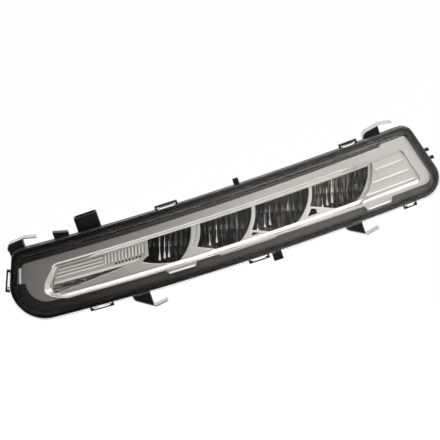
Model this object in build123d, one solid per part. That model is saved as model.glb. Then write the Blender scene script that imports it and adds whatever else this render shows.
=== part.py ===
from build123d import *
import os
from math import asin, cos, degrees, radians, sqrt, tan

os.makedirs("parts", exist_ok=True)

# Daytime running light for a car's front bumper, in millimetres. The lens faces -Y, +X is to the
# right for someone facing it and +Z is up. The origin is the middle of the rim's front face.
# A depth is measured from that face towards the rear, square to the plan curve.

# Plan curve: seen from above, every layer of the lamp follows one arc
PLAN_RADIUS = 515.0
PLAN_VERTEX = 47.0

# Rim in the front view, with the length at mid height
RIM_LENGTH = 342.5
RIM_HEIGHT = 59.2
LEFT_LEAN = 23.0
RIGHT_LEAN = 15.9
TOP_LEFT_RADIUS = 10.0
TOP_RIGHT_RADIUS = 10.0
BOTTOM_RIGHT_RADIUS = 16.0
BOTTOM_LEFT_RADIUS = 26.0
SHARPEST_CORNER = 2.0

# Clear lens
LENS_FLANGE = 2.2
LENS_STEP = 4.4
LENS_RISE = 6.0
LENS_WALL = 2.2
LENS_EDGE = 2.2
LEG_INSET = 1.8
LEG_WIDTH = 1.6
LEG_LENGTH = 4.9
SEAL_THICKNESS = 0.9

# Rim channel and ledge of the housing
CHANNEL_INSET = 0.5
CHANNEL_WALL = 1.3
FIT = 0.3
LEDGE_DEPTH = 8.6
LEDGE_THICKNESS = 2.0
LEDGE_LAP = 0.6

# Housing box behind the rim
SHELL_INSET = 6.0
SHELL_WALL = 2.2
SHELL_BACK = 44.0

# Bezel: gaps are measured inward from the rim's outer edge
BEZEL_THICKNESS = 2.0
BEZEL_LEFT_GAP = 14.4
BEZEL_RIGHT_GAP = 6.6
BEZEL_TOP_LEFT_GAP = 12.4
BEZEL_TOP_RIGHT_GAP = 9.8
BEZEL_STEP_GAP = 7.4
BEZEL_STEP_REACH = 35.2
BEZEL_STEP_RUN = 2.0
BEZEL_BOTTOM_LEFT_GAP = 13.0
BEZEL_BOTTOM_RIGHT_GAP = 9.0
BEZEL_CORNER = 6.0
BEZEL_LOW_CORNER = 15.0

# Recess of the bezel and the plate at its bottom
RECESS_BAND = 7.4
RECESS_STEP = 2.3
RECESS_STEP_DEPTH = 2.8
RECESS_DEPTH = 6.4
RECESS_LEFT_GAP = 28.5
RECESS_LEFT_SLOPE = 5.0
RECESS_RIGHT_GAP = 15.2
RECESS_BOTTOM_GAP = 12.2
RECESS_WALL = 0.8
RECESS_CORNER = 4.0
RECESS_LOW_CORNER = 14.0
LIP_RISE = 2.2
PLATE_THICKNESS = 2.0

# Windows of the four reflectors: gaps to the rim's top and bottom, distances of the top corners
# from the rim's right end, and the swoosh of their sides. The bowl's points have an offset from the
# top left corner and a height over the windows' sill.
WINDOW_TOP_GAP = 21.8
WINDOW_BOTTOM_GAP = 14.6
WINDOW_LEFT_PLACES = (226.05, 183.75, 139.25, 93.35)
WINDOW_RIGHT_PLACES = (191.05, 142.35, 96.05, 47.35)
SWOOSH_REACH = 16.5
SWOOSH_MID_REACH = 5.2
SWOOSH_LEFT_REACH = 14.0
SWOOSH_LEFT_MID_REACH = 4.4
SWOOSH_MID_DROP = 12.0
BOWL_TIP = (-9.5, 7.6)
BOWL_MID = (5.5, 1.5)
BOWL_SHOULDER = (-3.0, 11.0)
GUSSET_SLOPE = 24.0
GUSSET_FEET = (5.9, 4.2, 12.8)
GUSSET_RIB = 1.6
POCKET_MARGIN = 1.3
POCKET_END = -2.5
FIN_GROOVE_INSET = 2.4
FIN_GROOVE_WIDTH = 2.2
FIN_GROOVE_DEPTH = 0.8

# Raised plain field at the right end, with its ribs
FIELD_RISE = 4.2
FIELD_GAP = 3.0
FIELD_LIP = 1.8
FIELD_RIBS = (3.5, -5.3, -13.2)
FIELD_RIB_WIDTH = 1.1
FIELD_RIB_HEIGHT = 0.9
FIELD_RIB_LEFT_GAP = 4.5
FIELD_RIB_RIGHT_GAP = 4.0

# Fluted reflectors
REFLECTOR_RADIUS = 27.0
REFLECTOR_WALL = 1.1
REFLECTOR_BACK = 1.8
REFLECTOR_AXIS_DEPTH = 3.0
REFLECTOR_AXIS_HEIGHT = 10.0
REFLECTOR_REAR = 37.0
FLUTE_LEAN = 15.0
FLUTE_PITCH = 4.2
FLUTE_DEPTH = 0.55
FACETS_ROUND = 24

# Light board, its light sources and the heat sink
BOARD_GAP = 0.3
BOARD_THICKNESS = 1.6
BOARD_FRONT = 17.0
BOARD_BACK = 33.0
BOARD_OVERHANG = 2.5
LED_SIZE = 3.5
LED_HEIGHT = 0.9
LED_DEPTH = 23.0
LED_SLOT = 8.0
SHELF_THICKNESS = 3.0
SHELF_SETBACK = 6.0
SHELF_CLEARANCE = 1.0
SINK_BASE = 3.0
SINK_FIN_LENGTH = 12.0
SINK_FIN_THICKNESS = 1.8
SINK_FIN_COUNT = 15
SINK_MARGIN = 13.0
SINK_TOP = 21.0
SINK_BOTTOM = -17.0
SINK_SEAL = 1.0
SINK_SEAL_WIDTH = 3.0
SCREW_RADIUS = 1.75
SCREW_LENGTH = 10.0
SCREW_HEAD_RADIUS = 3.6
SCREW_HEAD = 2.4
SCREW_FIT = 0.1
SCREW_INSET = 4.5
BOSS_RADIUS = 3.8
BOSS_ROOF = 1.6

# Marker window, optic, reflector and board
MARKER_LEFT_GAP = 6.0
MARKER_FIN = 3.0
MARKER_TOP_DROP = 1.2
MARKER_LOW_RISE = 1.4
MARKER_CORNER = 2.5
OPTIC_DROP = 13.4
OPTIC_LAP = 1.0
OPTIC_THICKNESS = 1.8
OPTIC_RIB_HEIGHT = 1.5
OPTIC_RIB_FIT = 0.4
OPTIC_RIB_COUNT = 12
OPTIC_RIB_PITCH = 2.75
OPTIC_RIB_WIDTH = 1.5
OPTIC_RIB_DROP = 9.2
OPTIC_RIB_LEAN = 2.2
OPTIC_BAR_DROPS = (3.7, 6.3, 8.9)
OPTIC_BAR_WIDTH = 1.5
OPTIC_NOTCH = 1.5
OPTIC_NOTCH_DROP = 11.1
OPTIC_NOTCH_COUNT = 8
MARKER_STEPS = 6
MARKER_REAR = 28.0
MARKER_FORE = 16.5
MARKER_STEP_BACK = 1.3
MARKER_WALL = 1.1
MARKER_SHELL = 1.8
MARKER_BOARD_MARGIN = 13.1
MARKER_BOARD_HEIGHT = 7.0
MARKER_LED_COUNT = 3
MARKER_LED_SIZE = 3.0

# Plug socket, placed left of the light board, its terminals and the driver board below it
SOCKET_GAP = 37.7
SOCKET_DEPTH = 26.26
SOCKET_LENGTH = 18.5
SOCKET_WIDTH = 13.0
SOCKET_TOP = 39.0
SOCKET_WALL = 1.6
SOCKET_CAVITY = 12.0
SOCKET_CORNER = 2.5
NECK_MARGIN = 3.0
TERMINAL_COUNT = 3
TERMINAL_PITCH = 4.2
TERMINAL_THICKNESS = 0.8
TERMINAL_WIDTH = 2.2
TERMINAL_TOP = 33.0
TERMINAL_FIT = 0.1
DRIVER_LENGTH = 42.0
DRIVER_FRONT = 20.0
DRIVER_BACK = 36.0
DRIVER_HEIGHT = 15.0
DRIVER_SCREW_PITCH = 34.0
DRIVER_SCREW_RADIUS = 1.2
DRIVER_SCREW_LENGTH = 5.0
DRIVER_SCREW_HEAD_RADIUS = 2.4
DRIVER_SCREW_HEAD = 1.4
DRIVER_BOSS_RADIUS = 3.0
JUMPER_THICKNESS = 0.6
JUMPER_DEPTH = 24.0
JUMPER_LANDING = 6.0

# Breather on the back wall, placed from the rim's right end
BREATHER_PLACE = 21.25
BREATHER_Z = 2.0
BREATHER_BORE = 2.5
BREATHER_WALL = 1.5
BREATHER_LENGTH = 5.0
BREATHER_CAP_RADIUS = 7.0
BREATHER_CAP_LENGTH = 6.5
BREATHER_CAP_ROOF = 1.6
BREATHER_FIT = 0.1

# Snap loops round the rim and the lens tongues inside them: each has its distance from the rim's
# left end, or from its right end for the middle and right ones, and its length
LOOP_GAP = 1.9
LOOP_BAR = 1.3
LOOP_FOOT = 1.5
LOOP_FRONT = 3.2
LOOP_BACK = 8.0
TONGUE_MARGIN = 3.0
TONGUE_THICKNESS = 1.2
TONGUE_HOOK = 0.5
TONGUE_HOOK_LENGTH = 1.4
TOP_LOOP_LEFT = (138.95, 18.0)
TOP_LOOP_RIGHT = (57.25, 14.5)
BOTTOM_LOOP_LEFT = (66.45, 19.0)
BOTTOM_LOOP_MIDDLE = (149.25, 16.5)
BOTTOM_LOOP_RIGHT = (26.05, 11.0)
LEFT_LOOP_HEIGHT = 7.0
LEFT_LOOP_LENGTH = 18.0
RIGHT_NUBS = (5.0, -2.0)
NUB_LENGTH = 3.2
NUB_HEIGHT = 2.2

# Lugs, clips, peg and blocks: each lug has its distance from the rim's nearer end, its outer end and
# how far its end slants
LUG_FRONT = 14.0
LUG_BACK = 28.0
LUG_LENGTH = 13.0
LUG_CORNER = 4.0
TOP_LUG_LEFT = (16.45, 34.4, 2.0)
TOP_LUG_RIGHT = (36.85, 34.0, 2.0)
BOTTOM_LUG_LEFT = (98.25, -43.2, 8.0)
BOTTOM_LUG_RIGHT = (71.55, -41.6, 8.0)
CLIP_SHEET = 0.8
CLIP_FIT = 0.1
CLIP_LEG = 5.0
CLIP_LEAF = 10.0
CLIP_TIP = 1.5
CLIP_RETURN = 1.8
CLIP_BEND = 1.2
CLIP_SETBACK = 1.0
PEG_X = 24.0
PEG_RADIUS = 2.25
PEG_TOP = 34.0
PEG_DEPTH = 6.4
TOP_BLOCK_GAP = 22.3
TOP_BLOCK_LENGTH = 12.0
TOP_BLOCK_HEIGHT = 34.0
TOP_BLOCK_SLANT = 2.6
BOTTOM_BLOCK_X = 36.4
BOTTOM_BLOCK_LENGTH = 7.5
BOTTOM_BLOCK_HEIGHT = -38.0
BLOCK_FRONT = 12.0
BLOCK_BACK = 21.0
RIB_THICKNESS = 1.6
RIB_PITCH = 56.0
RIB_BACK = 18.0
RIB_RISE = 2.8
BACK_RIB_HEIGHT = 3.0
BACK_RIB_PLACE = 25.25
BACK_RIB_PITCH = 18.0
BACK_RIB_CLEARANCE = 12.0

# Tabs of the bezel over the ledge. Those on the bottom edge have a distance from the rim's left end,
# or from its right end for the middle and right ones, a length and a reach.
LEFT_BOTTOM_TAB = (134.95, 22.0, 3.6)
MIDDLE_BOTTOM_TAB = (154.05, 45.0, 1.1)
RIGHT_BOTTOM_TAB = (48.55, 20.0, 4.0)
LEFT_TAB_HEIGHT = 8.4
LEFT_TAB_LENGTH = 12.5
LEFT_TAB_REACH = 5.0

# Values that follow from the sizes above
PLAN_CENTRE = sqrt(PLAN_RADIUS ** 2 - PLAN_VERTEX ** 2)
HALF_HEIGHT = RIM_HEIGHT / 2
HALF_LENGTH = RIM_LENGTH / 2
TOP_LOOPS = (
    (TOP_LOOP_LEFT[0] - HALF_LENGTH, TOP_LOOP_LEFT[1]),
    (HALF_LENGTH - TOP_LOOP_RIGHT[0], TOP_LOOP_RIGHT[1]),
)
BOTTOM_LOOPS = (
    (BOTTOM_LOOP_LEFT[0] - HALF_LENGTH, BOTTOM_LOOP_LEFT[1]),
    (HALF_LENGTH - BOTTOM_LOOP_MIDDLE[0], BOTTOM_LOOP_MIDDLE[1]),
    (HALF_LENGTH - BOTTOM_LOOP_RIGHT[0], BOTTOM_LOOP_RIGHT[1]),
)
LUGS = {
    "top_left": (TOP_LUG_LEFT[0] - HALF_LENGTH, *TOP_LUG_LEFT[1:]),
    "top_right": (HALF_LENGTH - TOP_LUG_RIGHT[0], *TOP_LUG_RIGHT[1:]),
    "bottom_left": (BOTTOM_LUG_LEFT[0] - HALF_LENGTH, *BOTTOM_LUG_LEFT[1:]),
    "bottom_right": (HALF_LENGTH - BOTTOM_LUG_RIGHT[0], *BOTTOM_LUG_RIGHT[1:]),
}
BOTTOM_TABS = (
    (LEFT_BOTTOM_TAB[0] - HALF_LENGTH, *LEFT_BOTTOM_TAB[1:]),
    (HALF_LENGTH - MIDDLE_BOTTOM_TAB[0], *MIDDLE_BOTTOM_TAB[1:]),
    (HALF_LENGTH - RIGHT_BOTTOM_TAB[0], *RIGHT_BOTTOM_TAB[1:]),
)
BREATHER_X = HALF_LENGTH - BREATHER_PLACE
WINDOW_TOP = HALF_HEIGHT - WINDOW_TOP_GAP
WINDOW_BOTTOM = WINDOW_BOTTOM_GAP - HALF_HEIGHT
WINDOW_HEIGHT = WINDOW_TOP - WINDOW_BOTTOM
WINDOW_LEFTS = [HALF_LENGTH - place for place in WINDOW_LEFT_PLACES]
WINDOW_RIGHTS = [HALF_LENGTH - place for place in WINDOW_RIGHT_PLACES]
LEG_END = LENS_FLANGE + LEG_LENGTH
GROOVE_FLOOR = LEG_END + SEAL_THICKNESS
GROOVE_OUTER = LEG_INSET - FIT
GROOVE_INNER = LEG_INSET + LEG_WIDTH + FIT
LEDGE_BACK = LEDGE_DEPTH + LEDGE_THICKNESS
BEZEL_FACE = LEDGE_DEPTH - BEZEL_THICKNESS
PLATE_FACE = BEZEL_FACE + RECESS_DEPTH
PLATE_BACK = PLATE_FACE + PLATE_THICKNESS
FIELD_FACE = PLATE_FACE - FIELD_RISE
SHELL_TOP = HALF_HEIGHT - SHELL_INSET
SHELL_CEILING = SHELL_TOP - SHELL_WALL
SHELL_INSIDE = SHELL_BACK - SHELL_WALL
BOARD_BOTTOM = WINDOW_TOP + REFLECTOR_WALL + BOARD_GAP
BOARD_TOP = BOARD_BOTTOM + BOARD_THICKNESS
SHELF_TOP = BOARD_TOP + SHELF_THICKNESS
SINK_FACE = SHELL_BACK + SINK_SEAL
SINK_BACK = SINK_FACE + SINK_BASE
BOARD_LEFT = WINDOW_LEFTS[0] - BOARD_OVERHANG
BOARD_RIGHT = WINDOW_RIGHTS[-1] + BOARD_OVERHANG
SOCKET_X = BOARD_LEFT - SOCKET_GAP
TOP_BLOCK_X = SOCKET_X - TOP_BLOCK_GAP
SHELF_LEFT = BOARD_LEFT + SHELF_SETBACK
SHELF_RIGHT = BOARD_RIGHT - BOARD_OVERHANG
SINK_LEFT = SHELF_LEFT - SINK_MARGIN
SINK_RIGHT = SHELF_RIGHT + SINK_MARGIN
SCREW_END = SINK_BACK + SCREW_FIT - SCREW_LENGTH
MARKER_LOW_LEFT = WINDOW_BOTTOM + MARKER_LOW_RISE
OPTIC_BOTTOM = WINDOW_TOP - OPTIC_DROP
OPTIC_RIB_FOOT = WINDOW_TOP - OPTIC_RIB_DROP
MARKER_LED_Z = WINDOW_TOP - MARKER_TOP_DROP - 1.5 * MARKER_LED_SIZE
MARKER_BOARD_FACE = MARKER_REAR + MARKER_SHELL
DRIVER_TOP = DRIVER_HEIGHT + BOARD_THICKNESS
BASE = (Align.CENTER, Align.CENTER, Align.MIN)
FORWARD = (90, 0, 0)
REARWARD = (-90, 0, 0)
SAME_PLACE = 0.01
FRONT_REACH = 60.0
COLUMN_LENGTH = 260.0
COLUMN_HEIGHT = 2 * (RIM_HEIGHT + FRONT_REACH)
FRONT = Plane((0, -FRONT_REACH, 0), x_dir=(1, 0, 0), z_dir=(0, -1, 0))


def plan_y(x, depth):
    """Y of the layer at a depth, at a place along the lamp."""
    return PLAN_CENTRE - sqrt((PLAN_RADIUS - depth) ** 2 - (x - PLAN_VERTEX) ** 2)


def station(x, depth, z):
    """Place on the layer at a depth, turned so that local +Y is square to the plan curve."""
    turn = degrees(asin((x - PLAN_VERTEX) / (PLAN_RADIUS - depth)))
    return Pos(x, plan_y(x, depth), z) * Rot(0, 0, turn)


def rounded(points, radii):
    """Front-view face with straight sides and rounded corners."""
    return make_face(FilletPolyline(*points, radius=radii, close=True))


def block(left, right, bottom, top):
    """Front-view rectangle between four edges."""
    return Pos((left + right) / 2, (bottom + top) / 2) * Rectangle(right - left, top - bottom)


def slab(front, back):
    """Layer of the whole lamp between two depths."""
    ring = Circle(PLAN_RADIUS - front) - Circle(PLAN_RADIUS - back)
    return Pos(PLAN_VERTEX, PLAN_CENTRE, -COLUMN_HEIGHT / 2) * extrude(ring, COLUMN_HEIGHT)


def column(outline):
    """Column through the lamp from front to rear on a front-view face."""
    return extrude(FRONT * outline, COLUMN_LENGTH, dir=(0, 1, 0))


def layer(outline, front, back):
    """Piece of the layer between two depths that a front-view face covers."""
    return column(outline) & slab(front, back)


def ribbon(points):
    """Band round the plan curve on a closed section of (depth, height) points."""
    section = [(PLAN_RADIUS - depth, height) for depth, height in points]
    face = Plane.XZ * make_face(Polyline(*section, close=True))
    return Pos(PLAN_VERTEX, PLAN_CENTRE, 0) * revolve(face, Axis.Z)


def left_edge(z, inset):
    """X of the line that runs beside the rim's left end at an inset."""
    lean = radians(LEFT_LEAN)
    return -HALF_LENGTH + z * tan(lean) + inset / cos(lean)


def right_edge(z, inset):
    """X of the line that runs beside the rim's right end at an inset."""
    lean = radians(RIGHT_LEAN)
    return HALF_LENGTH - z * tan(lean) - inset / cos(lean)


def rim(inset):
    """Front-view face of the rim's outline, drawn in by an inset."""
    top = HALF_HEIGHT - inset
    points = [
        (left_edge(top, inset), top),
        (right_edge(top, inset), top),
        (right_edge(-top, inset), -top),
        (left_edge(-top, inset), -top),
    ]
    corners = (TOP_LEFT_RADIUS, TOP_RIGHT_RADIUS, BOTTOM_RIGHT_RADIUS, BOTTOM_LEFT_RADIUS)
    return rounded(points, [max(corner - inset, SHARPEST_CORNER) for corner in corners])


def bezel_outline(inset):
    """Front-view face of the bezel's border without its tabs, drawn in by an inset."""
    left = -HALF_LENGTH + BEZEL_LEFT_GAP + inset
    top_left = HALF_HEIGHT - BEZEL_TOP_LEFT_GAP - inset
    top_right = HALF_HEIGHT - BEZEL_TOP_RIGHT_GAP - inset
    step = HALF_HEIGHT - BEZEL_STEP_GAP - inset
    step_x = HALF_LENGTH - BEZEL_STEP_REACH + inset
    low_right = -HALF_HEIGHT + BEZEL_BOTTOM_RIGHT_GAP + inset
    low_left = -HALF_HEIGHT + BEZEL_BOTTOM_LEFT_GAP + inset
    end = BEZEL_RIGHT_GAP + inset
    points = [
        (left, top_left),
        (step_x, top_right),
        (step_x + BEZEL_STEP_RUN, step),
        (right_edge(step, end), step),
        (right_edge(low_right, end), low_right),
        (left, low_left),
    ]
    corners = (BEZEL_CORNER, 0, 0, BEZEL_CORNER, BEZEL_CORNER, BEZEL_LOW_CORNER)
    return rounded(points, [max(corner - inset, 0) for corner in corners])


def recess_outline(drop, grow):
    """Front-view face of the bezel's recess, with its top edge lowered or all sides grown."""
    top_left = HALF_HEIGHT - BEZEL_TOP_LEFT_GAP - RECESS_BAND - drop + grow
    top_right = HALF_HEIGHT - BEZEL_TOP_RIGHT_GAP - RECESS_BAND - drop + grow
    bottom = -HALF_HEIGHT + RECESS_BOTTOM_GAP - grow
    points = [
        (left_edge(top_left, RECESS_LEFT_GAP - grow), top_left),
        (right_edge(top_right, RECESS_RIGHT_GAP - grow), top_right),
        (right_edge(bottom, RECESS_RIGHT_GAP - grow), bottom),
        (left_edge(bottom, RECESS_LEFT_GAP - grow), bottom),
    ]
    corners = (RECESS_CORNER, RECESS_CORNER, RECESS_CORNER, RECESS_LOW_CORNER)
    return rounded(points, [corner + grow for corner in corners])


def swoosh(x, middle_reach, reach):
    """Curved window side that starts at the top edge and sweeps down to the left."""
    middle = (x - middle_reach, WINDOW_TOP - SWOOSH_MID_DROP)
    return ThreePointArc((x, WINDOW_TOP), middle, (x - reach, WINDOW_BOTTOM))


def right_swoosh(x):
    """Right side of a window."""
    return swoosh(x, SWOOSH_MID_REACH, SWOOSH_REACH)


def swoosh_window(left, right):
    """Front-view face between two swooshes, the left one a little steeper."""
    top = Line((left, WINDOW_TOP), (right, WINDOW_TOP))
    side = swoosh(left, SWOOSH_LEFT_MID_REACH, SWOOSH_LEFT_REACH)
    bottom = Line((right - SWOOSH_REACH, WINDOW_BOTTOM), (left - SWOOSH_LEFT_REACH, WINDOW_BOTTOM))
    return make_face(Curve() + [top, right_swoosh(right), bottom, side])


def below_gusset(left, foot, drop):
    """Front-view face under a gusset's sloping edge, which meets the sill at its foot."""
    fall = tan(radians(GUSSET_SLOPE))
    foot_x = left + foot
    far_x = left - 2 * SWOOSH_REACH
    sill = WINDOW_BOTTOM - drop
    floor = sill - WINDOW_HEIGHT
    low_x = foot_x + (sill - floor) / fall
    top = sill + (foot_x - far_x) * fall
    return make_face(Polyline((far_x, top), (low_x, floor), (far_x, floor), close=True))


def bowl_window(left, right):
    """Front-view face of the first window, which ends in a bowl and a pointed tip."""
    top = Line((left, WINDOW_TOP), (right, WINDOW_TOP))
    tip = (left + BOWL_TIP[0], WINDOW_BOTTOM + BOWL_TIP[1])
    middle = (left + BOWL_MID[0], WINDOW_BOTTOM + BOWL_MID[1])
    shoulder = (left + BOWL_SHOULDER[0], WINDOW_BOTTOM + BOWL_SHOULDER[1])
    bowl = ThreePointArc((right - SWOOSH_REACH, WINDOW_BOTTOM), middle, tip)
    side = Polyline(tip, shoulder, (left, WINDOW_TOP))
    return make_face(Curve() + [top, right_swoosh(right), bowl, side])


def windows():
    """Front-view faces of the four reflector windows, from left to right."""
    faces = [bowl_window(WINDOW_LEFTS[0], WINDOW_RIGHTS[0])]
    for left, right, foot in zip(WINDOW_LEFTS[1:], WINDOW_RIGHTS[1:], GUSSET_FEET):
        faces.append(swoosh_window(left, right) - below_gusset(left, foot, 0))
    return faces


def gusset_pockets():
    """Front-view faces of the small pockets under the gusset ribs of the last two windows."""
    faces = []
    for left, right, foot in list(zip(WINDOW_LEFTS[1:], WINDOW_RIGHTS[1:], GUSSET_FEET))[1:]:
        inner = offset(swoosh_window(left, right), -POCKET_MARGIN, kind=Kind.INTERSECTION)
        under = below_gusset(left, foot, GUSSET_RIB / cos(radians(GUSSET_SLOPE)))
        near = block(left - 2 * SWOOSH_REACH, left + POCKET_END, WINDOW_BOTTOM, WINDOW_TOP)
        faces.append(inner & under & near)
    return faces


def marker_window(grow):
    """Front-view face of the marker window, left of the first reflector window."""
    left = WINDOW_LEFTS[0]
    top = WINDOW_TOP - MARKER_TOP_DROP
    edge = RECESS_LEFT_GAP + MARKER_LEFT_GAP
    points = [
        (left_edge(top, edge), top),
        (left - MARKER_FIN, top),
        (left + BOWL_SHOULDER[0] - MARKER_FIN, WINDOW_BOTTOM + BOWL_SHOULDER[1] + MARKER_FIN / 2),
        (left + BOWL_TIP[0] - MARKER_FIN, WINDOW_BOTTOM + BOWL_TIP[1] + MARKER_FIN / 2),
        (left_edge(MARKER_LOW_LEFT, edge), MARKER_LOW_LEFT),
    ]
    face = rounded(points, [MARKER_CORNER, 0, 0, 0, MARKER_CORNER])
    if grow:
        face = offset(face, grow)
    return face


def marker_optic_face(grow):
    """Front-view face of the marker window's upper part, which the optic fills."""
    upper = block(-HALF_LENGTH, HALF_LENGTH, OPTIC_BOTTOM - grow, HALF_HEIGHT)
    return marker_window(grow) & upper


def loop_face(centre, length, sign):
    """Front-view face of a snap loop on the top (sign 1) or bottom (sign -1) edge."""
    base = HALF_HEIGHT - CHANNEL_INSET
    left = centre - length / 2
    right = centre + length / 2
    gap_top = base + LOOP_GAP
    frame = block(left, right, base - CHANNEL_WALL / 2, gap_top + LOOP_BAR)
    gap = block(left + LOOP_FOOT, right - LOOP_FOOT, base - CHANNEL_WALL, gap_top)
    return frame - gap if sign > 0 else mirror(frame - gap, Plane.XZ)


def tongue_face(centre, length, sign):
    """Front-view face of the lens tongue that lies in a snap loop."""
    half = length / 2 - LOOP_FOOT - TONGUE_MARGIN / 2
    low = HALF_HEIGHT - CHANNEL_INSET + FIT
    face = block(centre - half, centre + half, low, low + TONGUE_THICKNESS)
    return face if sign > 0 else mirror(face, Plane.XZ)


def on_left_end(face):
    """A face drawn on the top edge, turned onto the rim's left end."""
    middle = left_edge(LEFT_LOOP_HEIGHT, 0)
    turned = Rot(0, 0, 90 - LEFT_LEAN) * (Pos(0, -HALF_HEIGHT) * face)
    return Pos(middle, LEFT_LOOP_HEIGHT) * turned


def loops():
    """Front-view faces of all snap loops."""
    faces = [loop_face(x, length, 1) for x, length in TOP_LOOPS]
    faces += [loop_face(x, length, -1) for x, length in BOTTOM_LOOPS]
    faces.append(on_left_end(loop_face(0, LEFT_LOOP_LENGTH, 1)))
    return faces


def tongues():
    """Front-view faces of all lens tongues."""
    faces = [tongue_face(x, length, 1) for x, length in TOP_LOOPS]
    faces += [tongue_face(x, length, -1) for x, length in BOTTOM_LOOPS]
    faces.append(on_left_end(tongue_face(0, LEFT_LOOP_LENGTH, 1)))
    return faces


def lug_face(centre, end, slant):
    """Front-view face of a clip lug from the middle of the housing to its slanted outer end."""
    left = centre - LUG_LENGTH / 2
    right = centre + LUG_LENGTH / 2
    points = [(left, 0), (left, end - outward(end) * slant), (right, end), (right, 0)]
    return rounded(points, [0, LUG_CORNER, 0, 0])


def outward(end):
    """1 for a lug that points up and -1 for one that points down."""
    return 1 if end > 0 else -1


def clip_face(centre, end, slant):
    """Front-view face of a spring clip: a leg beside its lug, a seat on it and a leaf turned back."""
    sign = outward(end)
    gap = CLIP_FIT + CLIP_SHEET / 2
    fall = slant / LUG_LENGTH
    lift = gap * sqrt(1 + fall ** 2)
    left = centre - LUG_LENGTH / 2 - gap
    tip_x = centre + LUG_LENGTH / 2 + CLIP_TIP
    corner = end - sign * (slant + gap * fall - lift)
    tip = end + sign * (CLIP_TIP * fall + lift)
    path = FilletPolyline(
        (left, corner - sign * CLIP_LEG),
        (left, corner),
        (tip_x, tip),
        (tip_x + CLIP_LEAF, tip - sign * CLIP_RETURN),
        radius=[LUG_CORNER + gap, CLIP_BEND],
    )
    return trace(path, CLIP_SHEET)


def depth_of(point):
    """Depth of a point behind the rim's face."""
    across = Vector(point.X - PLAN_VERTEX, point.Y - PLAN_CENTRE, 0)
    return PLAN_RADIUS - across.length


def front_edges(solid, depth):
    """Edges of a solid that lie on the layer at a depth."""
    spots = (0, 0.5, 1)
    return [
        edge
        for edge in solid.edges()
        if all(abs(depth_of(edge @ spot) - depth) < SAME_PLACE for spot in spots)
    ]


def make_lens():
    """Clear cover: flange, raised hollow face, leg for the groove and snap tongues."""
    face = layer(rim(LENS_STEP), -LENS_RISE, LENS_FLANGE)
    face = chamfer(front_edges(face, -LENS_RISE), LENS_EDGE)
    hollow = layer(rim(LENS_STEP + LENS_WALL), LENS_WALL - LENS_RISE, LENS_FLANGE)
    lens = layer(rim(0) - rim(LENS_STEP), 0, LENS_FLANGE) + face - hollow
    leg = rim(LEG_INSET) - rim(LEG_INSET + LEG_WIDTH)
    lens += layer(leg, LENS_FLANGE, LEG_END)
    hook_start = LOOP_BACK + FIT
    for tongue in tongues():
        lens += layer(tongue, 0, hook_start + TONGUE_HOOK_LENGTH)
        hook = offset(tongue, TONGUE_HOOK, kind=Kind.INTERSECTION) - rim(0)
        lens += layer(hook, hook_start, hook_start + TONGUE_HOOK_LENGTH)
    return lens


def make_seal():
    """Soft bead at the bottom of the rim's groove."""
    return layer(rim(GROOVE_OUTER) - rim(GROOVE_INNER), LEG_END, GROOVE_FLOOR)


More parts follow.
